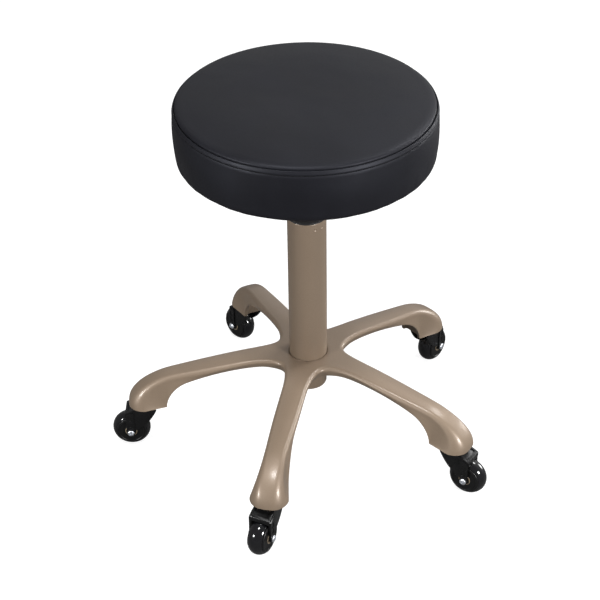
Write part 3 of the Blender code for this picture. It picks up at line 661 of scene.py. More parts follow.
def ease_loops(loops, heel):
    """Even out the outer surface along the arm, so that its top flows into the foot.

    The top and the shoulders are smoothed fully, and the wall less and less towards its rim.
    """
    outer = np.array([[tuple(p) for p in loop[0]] for loop in loops])
    count = outer.shape[1]
    from_middle = np.abs(np.arange(count) - (count - 1) / 2) - (HALF_COLUMNS + SHOULDER_STEPS * 0.5)
    across = np.clip(1 - from_middle / (SHOULDER_STEPS * 0.5 + WALL_ROWS), 0, 1)
    number = np.arange(len(loops))
    along = np.clip((number - heel * 0.45) / 6, 0, 1) * np.clip((len(loops) - 1 - number) / 6, 0, 1)
    amount = 0.5 * along[1:-1, None, None] * across[None, :, None]
    for _ in range(14):
        middle = (outer[:-2] + outer[2:]) / 2
        outer[1:-1] += amount * (middle - outer[1:-1])
    return [([Vector(p) for p in points], loop[1]) for points, loop in zip(outer, loops)]


def base_star_mesh():
    arm_steps, foot_steps, columns = 34, 16, 2 * HALF_COLUMNS
    loops = []
    for i in range(arm_steps + 1):
        t = i / arm_steps
        loops.append((full_section(arm_section(t, False)), full_section(arm_section(t, True))))
    heel_share = (HEEL - NOSE_START) / (NOSE_TIP - NOSE_START)
    heel_angle = math.asin(heel_share ** (NOSE_POWER / 2))
    for i in range(1, foot_steps + 1):
        angle = heel_angle + (math.pi / 2 - heel_angle) * i / foot_steps
        loops.append((full_section(foot_section(angle, False)), full_section(foot_section(angle, True))))
    loops = ease_loops(loops, arm_steps)
    trim = (len(loops[0][0]) - columns - 1) // 2
    web_top = loops[0][0][trim:len(loops[0][0]) - trim]
    web_ceiling = loops[0][1][trim:len(loops[0][1]) - trim]

    def circle(radius, height):
        angles = [ARM_STEP * (j / columns - 0.5) for j in range(columns + 1)]
        return [Vector((radius * math.cos(a), radius * math.sin(a), height)) for a in angles]

    def between(first, second, t):
        return [a.lerp(b, t) for a, b in zip(first, second)]

    hub_edge = circle(HUB_BORE + 0.0007, HUB_TOP)
    hub_ring = circle(HUB_BORE, HUB_TOP - 0.0007)
    ceiling_ring = circle(SLEEVE_RADIUS, HUB_TOP - SKIN)
    top_rows = [hub_ring, circle(HUB_BORE + 0.0002, HUB_TOP - 0.0002), hub_edge]
    top_rows += [between(hub_edge, web_top, t) for t in (0.25, 0.5, 0.75)] + [web_top]
    sleeve_rows = [hub_ring, circle(HUB_BORE, SLEEVE_BOTTOM), circle(SLEEVE_RADIUS - 0.0008, SLEEVE_BOTTOM),
                   circle(SLEEVE_RADIUS, SLEEVE_BOTTOM + 0.0008), ceiling_ring, web_ceiling]
    bm = bmesh.new()

    def add_strip(first, second):
        for j in range(len(first) - 1):
            corners = [first[j], first[j + 1], second[j + 1], second[j]]
            bm.faces.new([bm.verts.new(p) for p in corners])

    for rows in (top_rows, sleeve_rows):
        for first, second in zip(rows, rows[1:]):
            add_strip(first, second)
    for (outer, inner), (next_outer, next_inner) in zip(loops, loops[1:]):
        add_strip(outer + inner[::-1] + outer[:1], next_outer + next_inner[::-1] + next_outer[:1])
    last_outer, last_inner = loops[-1]
    rim = RIM_STEPS
    sole = last_outer[rim:-rim] + last_inner[rim:-rim][::-1]
    bm.faces.new([bm.verts.new(p) for p in sole])
    sector = list(bm.verts) + list(bm.edges) + list(bm.faces)
    for k in range(1, ARMS):
        copy = bmesh.ops.duplicate(bm, geom=sector)["geom"]
        verts = [item for item in copy if isinstance(item, bmesh.types.BMVert)]
        bmesh.ops.rotate(bm, verts=verts, matrix=Matrix.Rotation(ARM_STEP * k, 3, "Z"))
    bmesh.ops.remove_doubles(bm, verts=bm.verts, dist=1e-6)
    bmesh.ops.dissolve_degenerate(bm, edges=bm.edges, dist=1e-6)
    bmesh.ops.rotate(bm, verts=bm.verts, matrix=Matrix.Rotation(-math.pi / 2, 3, "Z"))
    return mesh_of("cast_base", bm, sharp=45.0)


# ---------------------------------------------------------------- column and lift

ROD = 0.005
ROD_NECK = 0.004


def column_mesh():
    """The painted tube, with four small stake marks that hold the guide bush."""
    low, high = size_of("column_tube")
    radius, top, bottom = high.x, high.z, low.z
    wall, foot_taper, floor, rod_hole = 0.0018, 0.0007, 0.0035, 0.0046
    stake_height, stake_depth, stake_size = top - 0.0085, 0.0007, 0.0015
    stakes = [Vector((radius * math.cos(a), radius * math.sin(a), stake_height))
              for a in map(math.radians, (-52, -28, 128, 152))]
    plain_end, staked_end = top - 0.016, top - 0.0008
    foot, inner = radius - foot_taper, radius - wall
    profile = [(rod_hole, bottom), (foot - 0.0014, bottom), (foot - 0.0004, bottom + 0.0004),
               (foot, bottom + 0.0014), (radius, HUB_TOP)]
    profile += [(radius, HUB_TOP + (plain_end - HUB_TOP) * i / 8) for i in range(1, 9)]
    profile += [(radius, plain_end + (staked_end - plain_end) * i / 34) for i in range(1, 35)]
    profile += [(radius - 0.0003, top - 0.0002), (radius - 0.0008, top),
                (inner + 0.0003, top), (inner, top - 0.0003), (inner, HUB_TOP),
                (inner - foot_taper, bottom + floor), (rod_hole, bottom + floor)]

    def staked(point):
        distance = min((point - stake).length for stake in stakes)
        dent = stake_depth * math.exp(-(distance / stake_size) ** 4)
        lip = 0.00018 * math.exp(-((distance - 0.0022) / 0.0006) ** 2)
        return point + Vector((point.x, point.y, 0)).normalized() * (lip - dent)

    return turned("painted_column", profile, 320, shape=staked)


def bush_mesh():
    low, high = size_of("guide_bush")
    bore = size_of("gas_cylinder")[1].x + 0.0003
    body, lip = size_of("column_tube")[1].x - 0.0021, high.x
    seat = size_of("column_tube")[1].z + 0.0003
    corners = [(bore, low.z, 0.0006), (body, low.z, 0.0010), (body, seat, 0), (lip, seat, 0.0004),
               (lip, seat + 0.0018, 0.0009), (lip - 0.0030, high.z, 0.0010),
               (bore + 0.0035, high.z, 0.0005), (bore + 0.0028, high.z - 0.0008, 0.0004),
               (bore, high.z - 0.0008, 0.0004)]
    return turned("guide_bush_fine", rounded(corners))


def cylinder_mesh():
    low, high = size_of("gas_cylinder")
    radius, taper_start, tip = high.x, 0.385, 0.0130
    corners = [(0.0126, low.z, 0.0003), (radius, low.z, 0.0010), (radius, taper_start, 0.02),
               (tip, high.z, 0.0012), (0.0043, high.z, 0.0003), (0.0043, high.z - 0.012, 0),
               (0.0126, high.z - 0.012, 0)]
    return turned("gas_cylinder_fine", rounded(corners))


def plate_mesh():
    """The pressed seat plate: a dished pan, a turned-down flange rim and a long socket."""
    low, high = size_of("seat_plate")
    top, bottom, plate = high.z, low.z, 0.003
    outer, pan, floor = high.x, 0.052, 0.4180
    socket, bore = 0.019, 0.0143
    corners = [(bore, bottom, 0.0004), (socket, bottom, 0.0012), (socket, floor, 0.0022),
               (pan, floor, 0.0045), (pan, top - plate, 0.0020), (outer, top - plate, 0.0012),
               (outer, top, 0.0006), (pan - plate, top, 0.0040), (pan - plate, floor + plate, 0.0020),
               (0.0135, floor + plate, 0.0008)]
    plate_body = turned("seat_plate_fine", rounded(corners, 5), 128)
    slot_low, slot_high, slot_half = floor + 0.005, top - 0.0045, 0.0075
    slot = [(-slot_half, slot_low, 0.0025), (slot_half, slot_low, 0.0025),
            (slot_half, slot_high, 0.0025), (-slot_half, slot_high, 0.0025)]
    tools = [prism("slot", rounded(slot, 6), pan - 0.007, pan + 0.005)]
    for i in range(1, 5):
        hole = turned("hole", drill(0.0036, top - 0.01, top + 0.01), 32)
        hole.transform(Matrix.Translation(middle_of(f"seat_bolt_{i}")))
        tools.append(hole)
    return carve(plate_body, tools)


def seat_bolt_mesh(number):
    """A flanged hexagon bolt, seen from below."""
    low, high = size_of(f"seat_bolt_{number}")
    flange, shank, head_radius, head_height = 0.0058, 0.003, 0.0048, 0.0034
    flange_bottom = low.z + 0.0028
    flange_top = size_of("seat_plate")[1].z - 0.003 - GAP
    corners = [math.pi * i / 3 for i in range(6)]
    head = prism("hex", [(head_radius * math.cos(a), head_radius * math.sin(a)) for a in corners],
                 0, head_height)
    head.transform(Matrix.Translation((0, 0, low.z + head_height)) @ Matrix.Rotation(math.pi / 2, 4, "X"))
    profile = [(0, flange_bottom, 0), (flange - 0.0015, flange_bottom, 0),
               (flange, flange_top - 0.0006, 0.0003), (flange, flange_top, 0), (shank, flange_top, 0),
               (shank, high.z, 0.0004), (0, high.z, 0)]
    return carve(turned("seat_bolt_fine", rounded(profile, 2), 40), added=[head], bevel=0.0003)


def spline(keys, steps):
    """Rows of numbers filled in smoothly between key rows (a Catmull-Rom spline)."""
    keys = np.array(keys, dtype=float)
    filled = []
    for i in range(len(keys) - 1):
        before, here = keys[max(i - 1, 0)], keys[i]
        after, beyond = keys[i + 1], keys[min(i + 2, len(keys) - 1)]
        slope_in, slope_out = (after - before) / 2, (beyond - here) / 2
        for t in np.arange(steps) / steps:
            filled.append((2 * t ** 3 - 3 * t ** 2 + 1) * here + (t ** 3 - 2 * t ** 2 + t) * slope_in
                          + (3 * t ** 2 - 2 * t ** 3) * after + (t ** 3 - t ** 2) * slope_out)
    return filled + [keys[-1]]


def oval_loft(name, sections, count=32):
    """Skin oval (y, z, half width, half height) sections along Y, with closed ends."""
    points = []
    for y, z, half_width, half_height in sections:
        for i in range(count):
            a = 2 * math.pi * i / count
            points.append(Vector((half_width * math.cos(a), y, z + half_height * math.sin(a))))
    faces = [tuple(range(count))[::-1], tuple(range(len(points) - count, len(points)))]
    for start in range(0, len(points) - count, count):
        for i in range(count):
            j = (i + 1) % count
            faces.append((start + i, start + j, start + count + j, start + count + i))
    return mesh_from(name, points, faces)


PIVOT = Vector(JOINTS["lever_tilt"]["pos_m"]) - Vector((0, 0, FLOOR))
LEVER_END = Vector((0, 0.150, 0.4140))
LEVER_BEND = 0.058


def lever_height(y):
    """Height of the lever's centre line outside the seat plate."""
    if y < LEVER_BEND:
        return PIVOT.z
    return PIVOT.z + (LEVER_END.z - PIVOT.z) * (y - LEVER_BEND) / (LEVER_END.y - LEVER_BEND)


def lever_mesh():
    """A flat paddle under the release pin, drawn out to a round bent rod."""
    paddle = size_of("release_lever")[1].z - 0.0013
    rod, start = 0.004, PIVOT.y
    keys = [(start - 0.0080, paddle, 0.0052, 0.0011), (start - 0.0050, paddle, 0.0064, 0.0014),
            (start + 0.0130, paddle, 0.0064, 0.0014), (start + 0.0210, PIVOT.z, 0.0050, rod),
            (start + 0.0300, PIVOT.z, rod, rod), (LEVER_BEND - 0.006, PIVOT.z, rod, rod)]
    keys += [(y, lever_height(y), rod, rod) for y in (LEVER_BEND + 0.006, 0.100, LEVER_END.y)]
    return oval_loft("lever_rod", spline(keys, 6))


def grip_mesh():
    """A flattened moulded grip with finger ribs."""
    start, end, bore = 0.104, size_of("lever_grip")[1].y, 0.0043
    sections = []
    for i in range(61):
        t = i / 60
        y = start + (end - start) * t
        tip = 0.25 + 0.75 * math.sqrt(max(1 - max((t - 0.80) / 0.20, 0) ** 2, 0.0))
        collar = smooth_step(t, 0.0, 0.04) * 0.15 + 0.85
        ribbed = smooth_step(t, 0.30, 0.38) * (1 - smooth_step(t, 0.72, 0.80))
        rib = 0.00028 * math.sin(t * math.pi * 30) * ribbed
        half_width = (0.0060 + 0.0050 * smooth_step(t, 0.05, 0.75)) * collar * tip + rib
        half_height = (0.0058 + 0.0004 * smooth_step(t, 0.05, 0.5)) * collar * tip + rib
        sections.append((y, lever_height(y), half_width, half_height))
    sections.append((end + 0.0001, lever_height(end), 0.0006, 0.0004))
    hole = [(y, lever_height(y), bore, bore) for y in (start - 0.001, LEVER_END.y + 0.0008)]
    return carve(oval_loft("lever_grip_fine", sections), [oval_loft("grip_bore", hole)])


# ---------------------------------------------------------------- cushion

SEAT_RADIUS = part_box("seat_cover_band")[1].x
SEAT_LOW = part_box("seat_cover_band")[0].z
SEAM_RADIUS = SEAT_RADIUS - 0.0036
SEAM_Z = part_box("seat_cover_top")[0].z - 0.0022
STITCH_Z = SEAM_Z - 0.0058
COVER = 0.0013
WRAP_RADIUS = 0.140
SEAT_SEGMENTS = 360


def crown(radius):
    """Height of the resting top panel: nearly flat, falling towards the seam."""
    return -0.0050 * (radius / 0.1545) ** 4


def cushion_proxy():
    """A plain closed cushion, slightly small, for the cloth simulation to fill out."""
    side = SEAT_RADIUS - 0.0012
    top = [(side * (1 - i / 14), crown(side * (1 - i / 14)) - 0.001) for i in range(1, 15)]
    profile = [(0, SEAT_LOW), (side - 0.006, SEAT_LOW), (side - 0.0015, SEAT_LOW + 0.002),
               (side, SEAT_LOW + 0.007), (side, SEAM_Z - 0.003), (side - 0.003, SEAM_Z)] + top
    return turned("cushion_proxy", profile, 120)


def inflate(mesh):
    """Blow the cushion up as cloth, held at its seam and underneath.

    Returns the resting points and how far each one has moved.
    """
    frames, cap, smoothing_passes = 20, 0.022, 12
    pad = bpy.data.objects.new("cushion_cloth", mesh)
    bpy.context.collection.objects.link(pad)
    remesh = pad.modifiers.new("remesh", "REMESH")
    remesh.mode = "VOXEL"
    remesh.voxel_size = 0.0055
    pad.data = evaluated_mesh(pad)
    pad.modifiers.clear()
    rest = np.array([v.co for v in pad.data.vertices])
    held = pad.vertex_groups.new(name="held")
    for i, (x, y, z) in enumerate(rest):
        at_seam = SEAM_Z - 0.006 < z < SEAM_Z + 0.004 and math.hypot(x, y) > SEAM_RADIUS - 0.006
        if at_seam or z < SEAT_LOW + 0.006:
            held.add([i], 0.92 if at_seam else 1.0, "REPLACE")
    cloth = pad.modifiers.new("cloth", "CLOTH")
    stiffness = {"tension_stiffness": 0.5, "compression_stiffness": 0.5, "shear_stiffness": 0.3,
                 "bending_stiffness": 0.3}
    pressure = {"use_pressure": True, "uniform_pressure_force": 4.0}
    others = {"quality": 6, "mass": 0.35, "vertex_group_mass": "held"}
    for key, value in {**stiffness, **pressure, **others}.items():
        setattr(cloth.settings, key, value)
    cloth.settings.effector_weights.gravity = 0
    cloth.collision_settings.use_collision = False
    cloth.point_cache.frame_start = 1
    cloth.point_cache.frame_end = frames
    for number in range(1, frames + 1):
        bpy.context.scene.frame_set(number)
    blown = evaluated_mesh(pad)
    moved = np.array([v.co for v in blown.vertices]) - rest
    ends = np.array([edge.vertices[:] for edge in blown.edges])
    neighbours = np.bincount(ends.ravel(), minlength=len(rest))[:, None]
    for _ in range(smoothing_passes):
        total = np.zeros_like(moved)
        np.add.at(total, ends[:, 0], moved[ends[:, 1]])
        np.add.at(total, ends[:, 1], moved[ends[:, 0]])
        moved = (moved + total / np.maximum(neighbours, 1)) / 2
    length = np.linalg.norm(moved, axis=1)
    moved *= np.minimum(1.0, cap / np.maximum(length, 1e-9))[:, None]
    bpy.data.objects.remove(pad, do_unlink=True)
    bpy.context.scene.frame_set(1)
    return rest, moved


class Fill:
    """Where the filled cushion's surface lies, as a shift from the resting profile."""

    top_rise = 0.0014             # how far the filled top stands above its resting shape
    side_rise = 0.0019            # how far the filled side stands out

    def __init__(self, rest, moved):
        self.moved = moved
        self.tree = KDTree(len(rest))
        for i, point in enumerate(rest):
            self.tree.insert(point, i)
        self.tree.balance()
        radius = np.hypot(rest[:, 0], rest[:, 1])
        top = radius < 0.03
        top &= rest[:, 2] > SEAM_Z
        middle = (SEAM_Z + SEAT_LOW) / 2
        side = (np.abs(rest[:, 2] - middle) < 0.006) & (radius > SEAT_RADIUS - 0.01)
        outward = (moved[:, :2] * rest[:, :2]).sum(1) / np.maximum(radius, 1e-9)
        self.top_scale = self.top_rise / max(float(moved[top, 2].mean()), 1e-6)
        self.side_scale = self.side_rise / max(float(outward[side].mean()), 1e-6)

    def shift(self, point):
        total, weights = Vector((0, 0, 0)), 0.0
        for _, index, distance in self.tree.find_n(point, 8):
            weight = 1 / (distance + 0.002) ** 2
            total += Vector(self.moved[index]) * weight
            weights += weight
        total /= weights
        return Vector((total.x * self.side_scale, total.y * self.side_scale, total.z * self.top_scale))


class NoFill:
    def shift(self, point):
        if point.z > SEAM_Z:
            reach = min(math.hypot(point.x, point.y) / SEAM_RADIUS, 1.0)
            return Vector((0, 0, Fill.top_rise * (1 - reach ** 4)))
        across = (point.z - SEAT_LOW) / (SEAM_Z - SEAT_LOW)
        bulge = Fill.side_rise * max(math.sin(math.pi * min(max(across, 0.0), 1.0)), 0.0)
        return Vector((point.x, point.y, 0)).normalized() * bulge


def tension(point):
    """Small upholstery irregularities: broad dimples on top, pull folds by the wrap."""
    radius = math.hypot(point.x, point.y)
    outward = Vector((point.x, point.y, 0)) / max(radius, 1e-6)
    broad = noise.noise(point * 16.0) + 0.5 * noise.noise(point * 34.0)
    on_top = smooth_step(point.z, SEAM_Z - 0.002, SEAM_Z + 0.002)
    lift = 0.00045 * broad * on_top * (1 - smooth_step(radius, SEAM_RADIUS - 0.012, SEAM_RADIUS))
    low_side = 1 - smooth_step(point.z, SEAT_LOW + 0.002, SEAT_LOW + 0.040)
    ring = outward * 1.6
    folds = noise.noise(Vector((ring.x * 6, ring.y * 6, 3.0))) \
        + 0.45 * noise.noise(Vector((ring.x * 17, ring.y * 17, 7.0)))
    side = (0.0006 * broad + 0.0005 * folds * low_side) * (1 - on_top)
    held = smooth_step(point.z, STITCH_Z - 0.012, STITCH_Z)
    side *= 1 - 0.8 * held
    under = (1 - smooth_step(point.z, SEAT_LOW + 0.0002, SEAT_LOW + 0.003)) \
        * (1 - smooth_step(radius, SEAT_RADIUS - 0.018, SEAT_RADIUS - 0.006))
    pleat = noise.noise(Vector((ring.x * 30, ring.y * 30, 1.0)))
    drop = -0.0005 * max(pleat, 0.0) * under
    return outward * side + Vector((0, 0, lift + drop))


def offset_profile(points, distance):
    """Shift an open (radius, z) profile inwards by a distance, along its normals."""
    moved = []
    for i, point in enumerate(points):
        before, after = points[max(i - 1, 0)], points[min(i + 1, len(points) - 1)]
        along = (after - before).normalized()
        moved.append(point + Vector((-along.y, along.x)) * distance)
    return moved


def curve_through(keys, steps):
    """A smooth open curve through (x, y) keys, with the given steps between them."""
    return [Vector(row) for row in spline(keys, steps)]


def top_panel_profile():
    """Outer face from the centre to the seam, then back along the inner face."""
    flat_end, eye = 0.1500, 0.0025
    outer = [Vector((eye + (flat_end - eye) * i / 44, crown(flat_end * i / 44))) for i in range(45)]
    roll = [(flat_end, crown(flat_end)), (0.1540, crown(flat_end) - 0.0010),
            (0.1563, SEAM_Z + 0.0028), (SEAM_RADIUS - 0.0002, SEAM_Z + 0.0012),
            (SEAM_RADIUS - 0.0002, SEAM_Z - 0.0018)]
    outer += curve_through(roll, 5)[1:]
    inner = offset_profile(outer, -COVER)
    inner = [p for p in inner if p.x > 0.0005 and p.x < SEAM_RADIUS - 0.0015]
    closing = [(0.0, -COVER), (0.0, 0.0)]
    return [(p.x, p.y) for p in outer] + [(p.x, p.y) for p in inner[::-1]] + closing


def band_profile():
    """Down the outer face from the seam, round the lower edge and under the board."""
    side = SEAT_RADIUS - 0.0013
    keys = [(SEAM_RADIUS + 0.0001, SEAM_Z - 0.0020), (SEAM_RADIUS + 0.0006, SEAM_Z - 0.0003),
            (SEAM_RADIUS + 0.0018, SEAM_Z), (side + 0.0003, SEAM_Z - 0.0020),
            (side + 0.0008, STITCH_Z + 0.0018), (side + 0.0005, STITCH_Z + 0.0007),
            (side - 0.0003, STITCH_Z), (side + 0.0002, STITCH_Z - 0.0008),
            (side + 0.0005, STITCH_Z - 0.0030)]
    outer = curve_through(keys, 4)
    straight_end = SEAT_LOW + 0.0075
    start = outer[-1]
    outer += [start.lerp(Vector((side - 0.0004, straight_end)), i / 24) for i in range(1, 25)]
    edge = [(side - 0.0004, straight_end), (side - 0.0012, SEAT_LOW + 0.0035),
            (side - 0.0030, SEAT_LOW + 0.0011), (side - 0.0060, SEAT_LOW), (side - 0.0100, SEAT_LOW)]
    outer += curve_through(edge, 4)[1:]
    wrap_start = outer[-1].x
    outer += [Vector((wrap_start + (WRAP_RADIUS - wrap_start) * i / 8, SEAT_LOW)) for i in range(1, 9)]
    inner = offset_profile(outer, -COVER)
    return [(p.x, p.y) for p in outer] + [(p.x, p.y) for p in inner[::-1]]


def stitch_ring(filled):
    """Lockstitches in the groove under the seam, one short capsule each."""
    radius, pitch = SEAT_RADIUS - 0.0013, 0.0034
    count = round(2 * math.pi * radius / pitch)
    half_size = Matrix.Diagonal((0.00135, 0.00036, 0.00042, 1.0))
    bm = bmesh.new()
    for i in range(count):
        a = 2 * math.pi * i / count
        outward = Vector((math.cos(a), math.sin(a), 0))
        spot = filled(outward * radius + Vector((0, 0, STITCH_Z))) + outward * 0.00005
        turn = Matrix.Rotation(a + math.pi / 2, 4, "Z") @ Matrix.Rotation(0.10, 4, "Y")
        bmesh.ops.create_uvsphere(bm, u_segments=8, v_segments=6, radius=1.0,
                                  matrix=Matrix.Translation(spot) @ turn @ half_size)
    return mesh_of("seam_stitches", bm, 60.0)


def staple_ring():
    """Wire staples that hold the wrapped band to the underside of the board."""
    count, radius = 46, WRAP_RADIUS + 0.0042
    size = Matrix.Diagonal((0.0098, 0.0011, 0.0007, 1))
    bm = bmesh.new()
    for i in range(count):
        wobble = noise.noise(Vector((i * 1.7, 0.5, 0)))
        a = 2 * math.pi * (i + 0.25 * wobble) / count
        reach = radius + 0.0012 * wobble
        spot = Vector((reach * math.cos(a), reach * math.sin(a), SEAT_LOW - 0.0002))
        turn = Matrix.Rotation(a + math.pi / 2 + 0.35 * wobble, 4, "Z")
        made = bmesh.ops.create_cube(bm, size=1.0, matrix=Matrix.Translation(spot) @ turn @ size)
        edges = list({e for v in made["verts"] for e in v.link_edges})
        bmesh.ops.bevel(bm, geom=edges, offset=0.00025, segments=2, affect="EDGES")
    return mesh_of("band_staples", bm)


def foam_profile():
    """The pad inside the covers, standing on the board."""
    side, flat = SEAT_RADIUS - 0.0036, 0.150
    bottom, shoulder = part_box("seat_board")[1].z + GAP, SEAM_Z - 0.006
    profile = [(side * i / 12, bottom) for i in range(13)]
    profile += [(side, bottom + (shoulder - bottom) * i / 10) for i in range(1, 11)]
    profile += [(side - 0.0015, SEAM_Z - 0.0035), (side - 0.004, SEAM_Z - 0.0012)]
    top = [flat * (1 - i / 14) for i in range(15)]
    return profile + [(radius, crown(radius) - COVER - 0.0006) for radius in top]


def build_seat():
    fill = Fill(*inflate(cushion_proxy()))
    here = Matrix.Identity(4)

    def filled(point):
        return point + fill.shift(point) + tension(point)

    for name, profile, segments, slot, node in (
            ("seat_top_panel", top_panel_profile(), SEAT_SEGMENTS, "vinyl", "seat_cover_top"),
            ("seat_side_band", band_profile(), SEAT_SEGMENTS, "vinyl", "seat_cover_band"),
            ("seat_foam_pad", foam_profile(), 144, "foam", "seat_foam")):
        mesh = turned(name, profile, segments, shape=filled, sharp=60)
        piece(name, mesh, "seat", slot, [node], here)
    piece("seam_stitches", stitch_ring(filled), "seat", "vinyl", (), here, THREAD)
    piece("band_staples", staple_ring(), "seat", "zinc_steel", (), here)


# ---------------------------------------------------------------- casters

WHEEL_RADIUS = (size_of("caster_tyre_1")[1].z - size_of("caster_tyre_1")[0].z) / 2
FORK_TOP = size_of("caster_fork_1")[1].z
TRAIL = (Vector(JOINTS["wheel_spin_1"]["pos_m"]).xy - Vector(JOINTS["caster_swivel_1"]["pos_m"]).xy).length
TYRE_HALF = 0.0098
TYRE_BORE = 0.0143
WHEEL_HALF = 0.0117
DISC_RADIUS = 0.0204
FORK_INSIDE = 0.0121
PLATE_HALF = 0.0140
LEG_HALF = 0.0156
AXLE_RADIUS = 0.003
RING_RADIUS = 0.0074


def fork_mesh():
    """The yoke: a hooded top plate with a raised front lip, side plates and ribbed legs."""
    rear, bend, front = -0.0128, 0.0105, 0.0305
    plate, lip_top = 0.0035, 0.0572
    leg_half, boss = 0.0050, 0.0056
    axle = Vector((TRAIL, WHEEL_RADIUS))

    def roof(s):
        return FORK_TOP + (lip_top - FORK_TOP) * (s - bend) / (front - bend)

    boss_arc = [axle + Vector((math.cos(a), math.sin(a))) * boss
                for a in [math.radians(20 - 220 * i / 16) for i in range(17)]]
    rear_edge = curve_through([boss_arc[-1], (0.0105, 0.0330), (-0.0005, 0.0432), (-0.0092, 0.0560),
                               (rear + 0.0004, 0.0628)], 5)
    outline = rounded([(rear, FORK_TOP, 0.0012), (bend, FORK_TOP, 0.006), (front, lip_top, 0.0016),
                       (front + 0.0002, lip_top - 0.0062, 0.0010),
                       (TRAIL + leg_half, lip_top - 0.0072, 0.0015)], 5)
    outline += boss_arc + rear_edge[1:]
    body = prism("caster_fork_fine", outline, -PLATE_HALF, PLATE_HALF)
    leg_outline = [(TRAIL - leg_half, 0.0590), (TRAIL + leg_half, 0.0545)] + boss_arc
    legs = prism("legs", leg_outline, -LEG_HALF, LEG_HALF)
    bar, behind, under = front - 0.0036, rear - 0.01, FORK_TOP - plate
    slot = prism("slot", [(behind, under), (bend, under), (bar, roof(bar) - plate), (bar, 0.0),
                          (behind, 0.0)], -FORK_INSIDE, FORK_INSIDE)
    inner, outer, lip_low = bar - 0.001, front + 0.01, lip_top - 0.0060
    opening = prism("opening", [(inner, 0.0), (inner, lip_low), (outer, lip_low), (outer, 0.0)],
                    -FORK_INSIDE, FORK_INSIDE)
    dish_depth, dish_half, dish_rear = 0.0021, 0.0112, bend + 0.002
    dish_outline = rounded([(bend - 0.002, FORK_TOP + 0.002, 0), (bar, roof(bar) + 0.006, 0),
                            (bar, roof(bar) - dish_depth, 0.001),
                            (dish_rear, roof(dish_rear) - dish_depth, 0.002)], 4)
    dish = prism("dish", dish_outline, -dish_half, dish_half)
    tools = [slot, opening, dish]
    for side in (-1, 1):
        near, far = sorted((side * (LEG_HALF - 0.0007), side * (LEG_HALF + 0.002)))
        for low, high in ((0.0345, 0.0418), (0.0440, 0.0512)):
            window = rounded([(TRAIL - 0.0028, low, 0.0007), (TRAIL + 0.0028, low, 0.0007),
                              (TRAIL + 0.0028, high, 0.0007), (TRAIL - 0.0028, high, 0.0007)], 4)
            tools.append(prism("window", window, near, far))
    hole = turned("axle_hole", drill(AXLE_RADIUS + GAP, -0.03, 0.03), 32, "Y")
    hole.transform(Matrix.Translation((TRAIL, 0, WHEEL_RADIUS)))
    stem_hole = turned("stem_hole", drill(0.0045, FORK_TOP - 0.01, FORK_TOP + 0.01), 32)
    return carve(body, tools + [hole, stem_hole], [legs], bevel=0.0006, steps=3)


def tyre_mesh():
    """A ball-shaped tread between the core's two discs."""
    steps, crown_radius = 28, 0.0130
    edge = math.asin(TYRE_HALF / crown_radius)
    arc = []
    for i in range(steps + 1):
        a = edge * (2 * i / steps - 1)
        arc.append((WHEEL_RADIUS - crown_radius * (1 - math.cos(a)), crown_radius * math.sin(a)))
    profile = [(TYRE_BORE, -TYRE_HALF), (arc[0][0] - 0.0006, -TYRE_HALF)] + arc[1:-1]
    profile += [(arc[-1][0] - 0.0006, TYRE_HALF), (TYRE_BORE, TYRE_HALF)]
    return turned("caster_tread", profile, 128, "Y", sharp=50)


def core_mesh():
    """A spool whose discs carry a stepped face and a pale ring round the axle."""
    bore, hub, inner = AXLE_RADIUS + GAP, TYRE_BORE - GAP, TYRE_HALF + GAP
    step, ring = 0.0166, RING_RADIUS
    half = [(hub, inner, 0), (DISC_RADIUS, inner, 0.0003),
            (DISC_RADIUS - 0.0008, WHEEL_HALF - 0.0006, 0.0005),
            (DISC_RADIUS - 0.0026, WHEEL_HALF, 0.0010), (step + 0.0006, WHEEL_HALF, 0.0003),
            (step, WHEEL_HALF - 0.0008, 0.0003), (ring + 0.0016, WHEEL_HALF - 0.0008, 0.0003),
            (ring + 0.0006, WHEEL_HALF - 0.0002, 0.0001), (ring + 0.0005, WHEEL_HALF + 0.0001, 0.0001),
            (ring - 0.0005, WHEEL_HALF + 0.0001, 0.0001), (ring - 0.0006, WHEEL_HALF - 0.0002, 0.0001),
            (bore, WHEEL_HALF - 0.0002, 0.0003)]
    corners = [(r, -h, f) for r, h, f in reversed(half)] + half
    mesh = turned("wheel_core_fine", rounded(corners, 3), 96, "Y", sharp=40)
    mesh.materials.append(MATERIALS["wheel_plastic"])
    mesh.materials.append(PALE_RING)
    for polygon in mesh.polygons:
        reach = math.hypot(polygon.center.x, polygon.center.z)
        if abs(polygon.center.y) > WHEEL_HALF - 0.00015 and abs(reach - ring) < 0.00062:
            polygon.material_index = 1
    return mesh


def bolt_head(face, name, radius=0.0045):
    """A domed head with a cross recess, from the fork's outer face outwards."""
    dome = [(radius, face), (radius, face + 0.0007)]
    dome += [(radius * math.cos(a), face + 0.0007 + 0.0017 * math.sin(a))
             for a in [math.pi / 2 * i / 10 for i in range(1, 11)]]
    return turned(name, [(0, face)] + dome[:-1] + [(0, face + 0.0024)], 48, "Y")


def cross_cutters(face):
    depth, arm, width = 0.0016, 0.0026, 0.00042
    return [prism("cross", [(-x, -z), (x, -z), (x, z), (-x, z)], face + 0.0024 - depth, face + 0.005)
            for x, z in ((arm, width), (width, arm))]


def axle_bolt_mesh():
    face = LEG_HALF + GAP
    shank = turned("shank", drill(AXLE_RADIUS, -face - 0.0004, face + 0.0002), 40, "Y")
    return carve(bolt_head(face, "axle_bolt_fine"), cross_cutters(face), [shank], bevel=0.00012, steps=2)


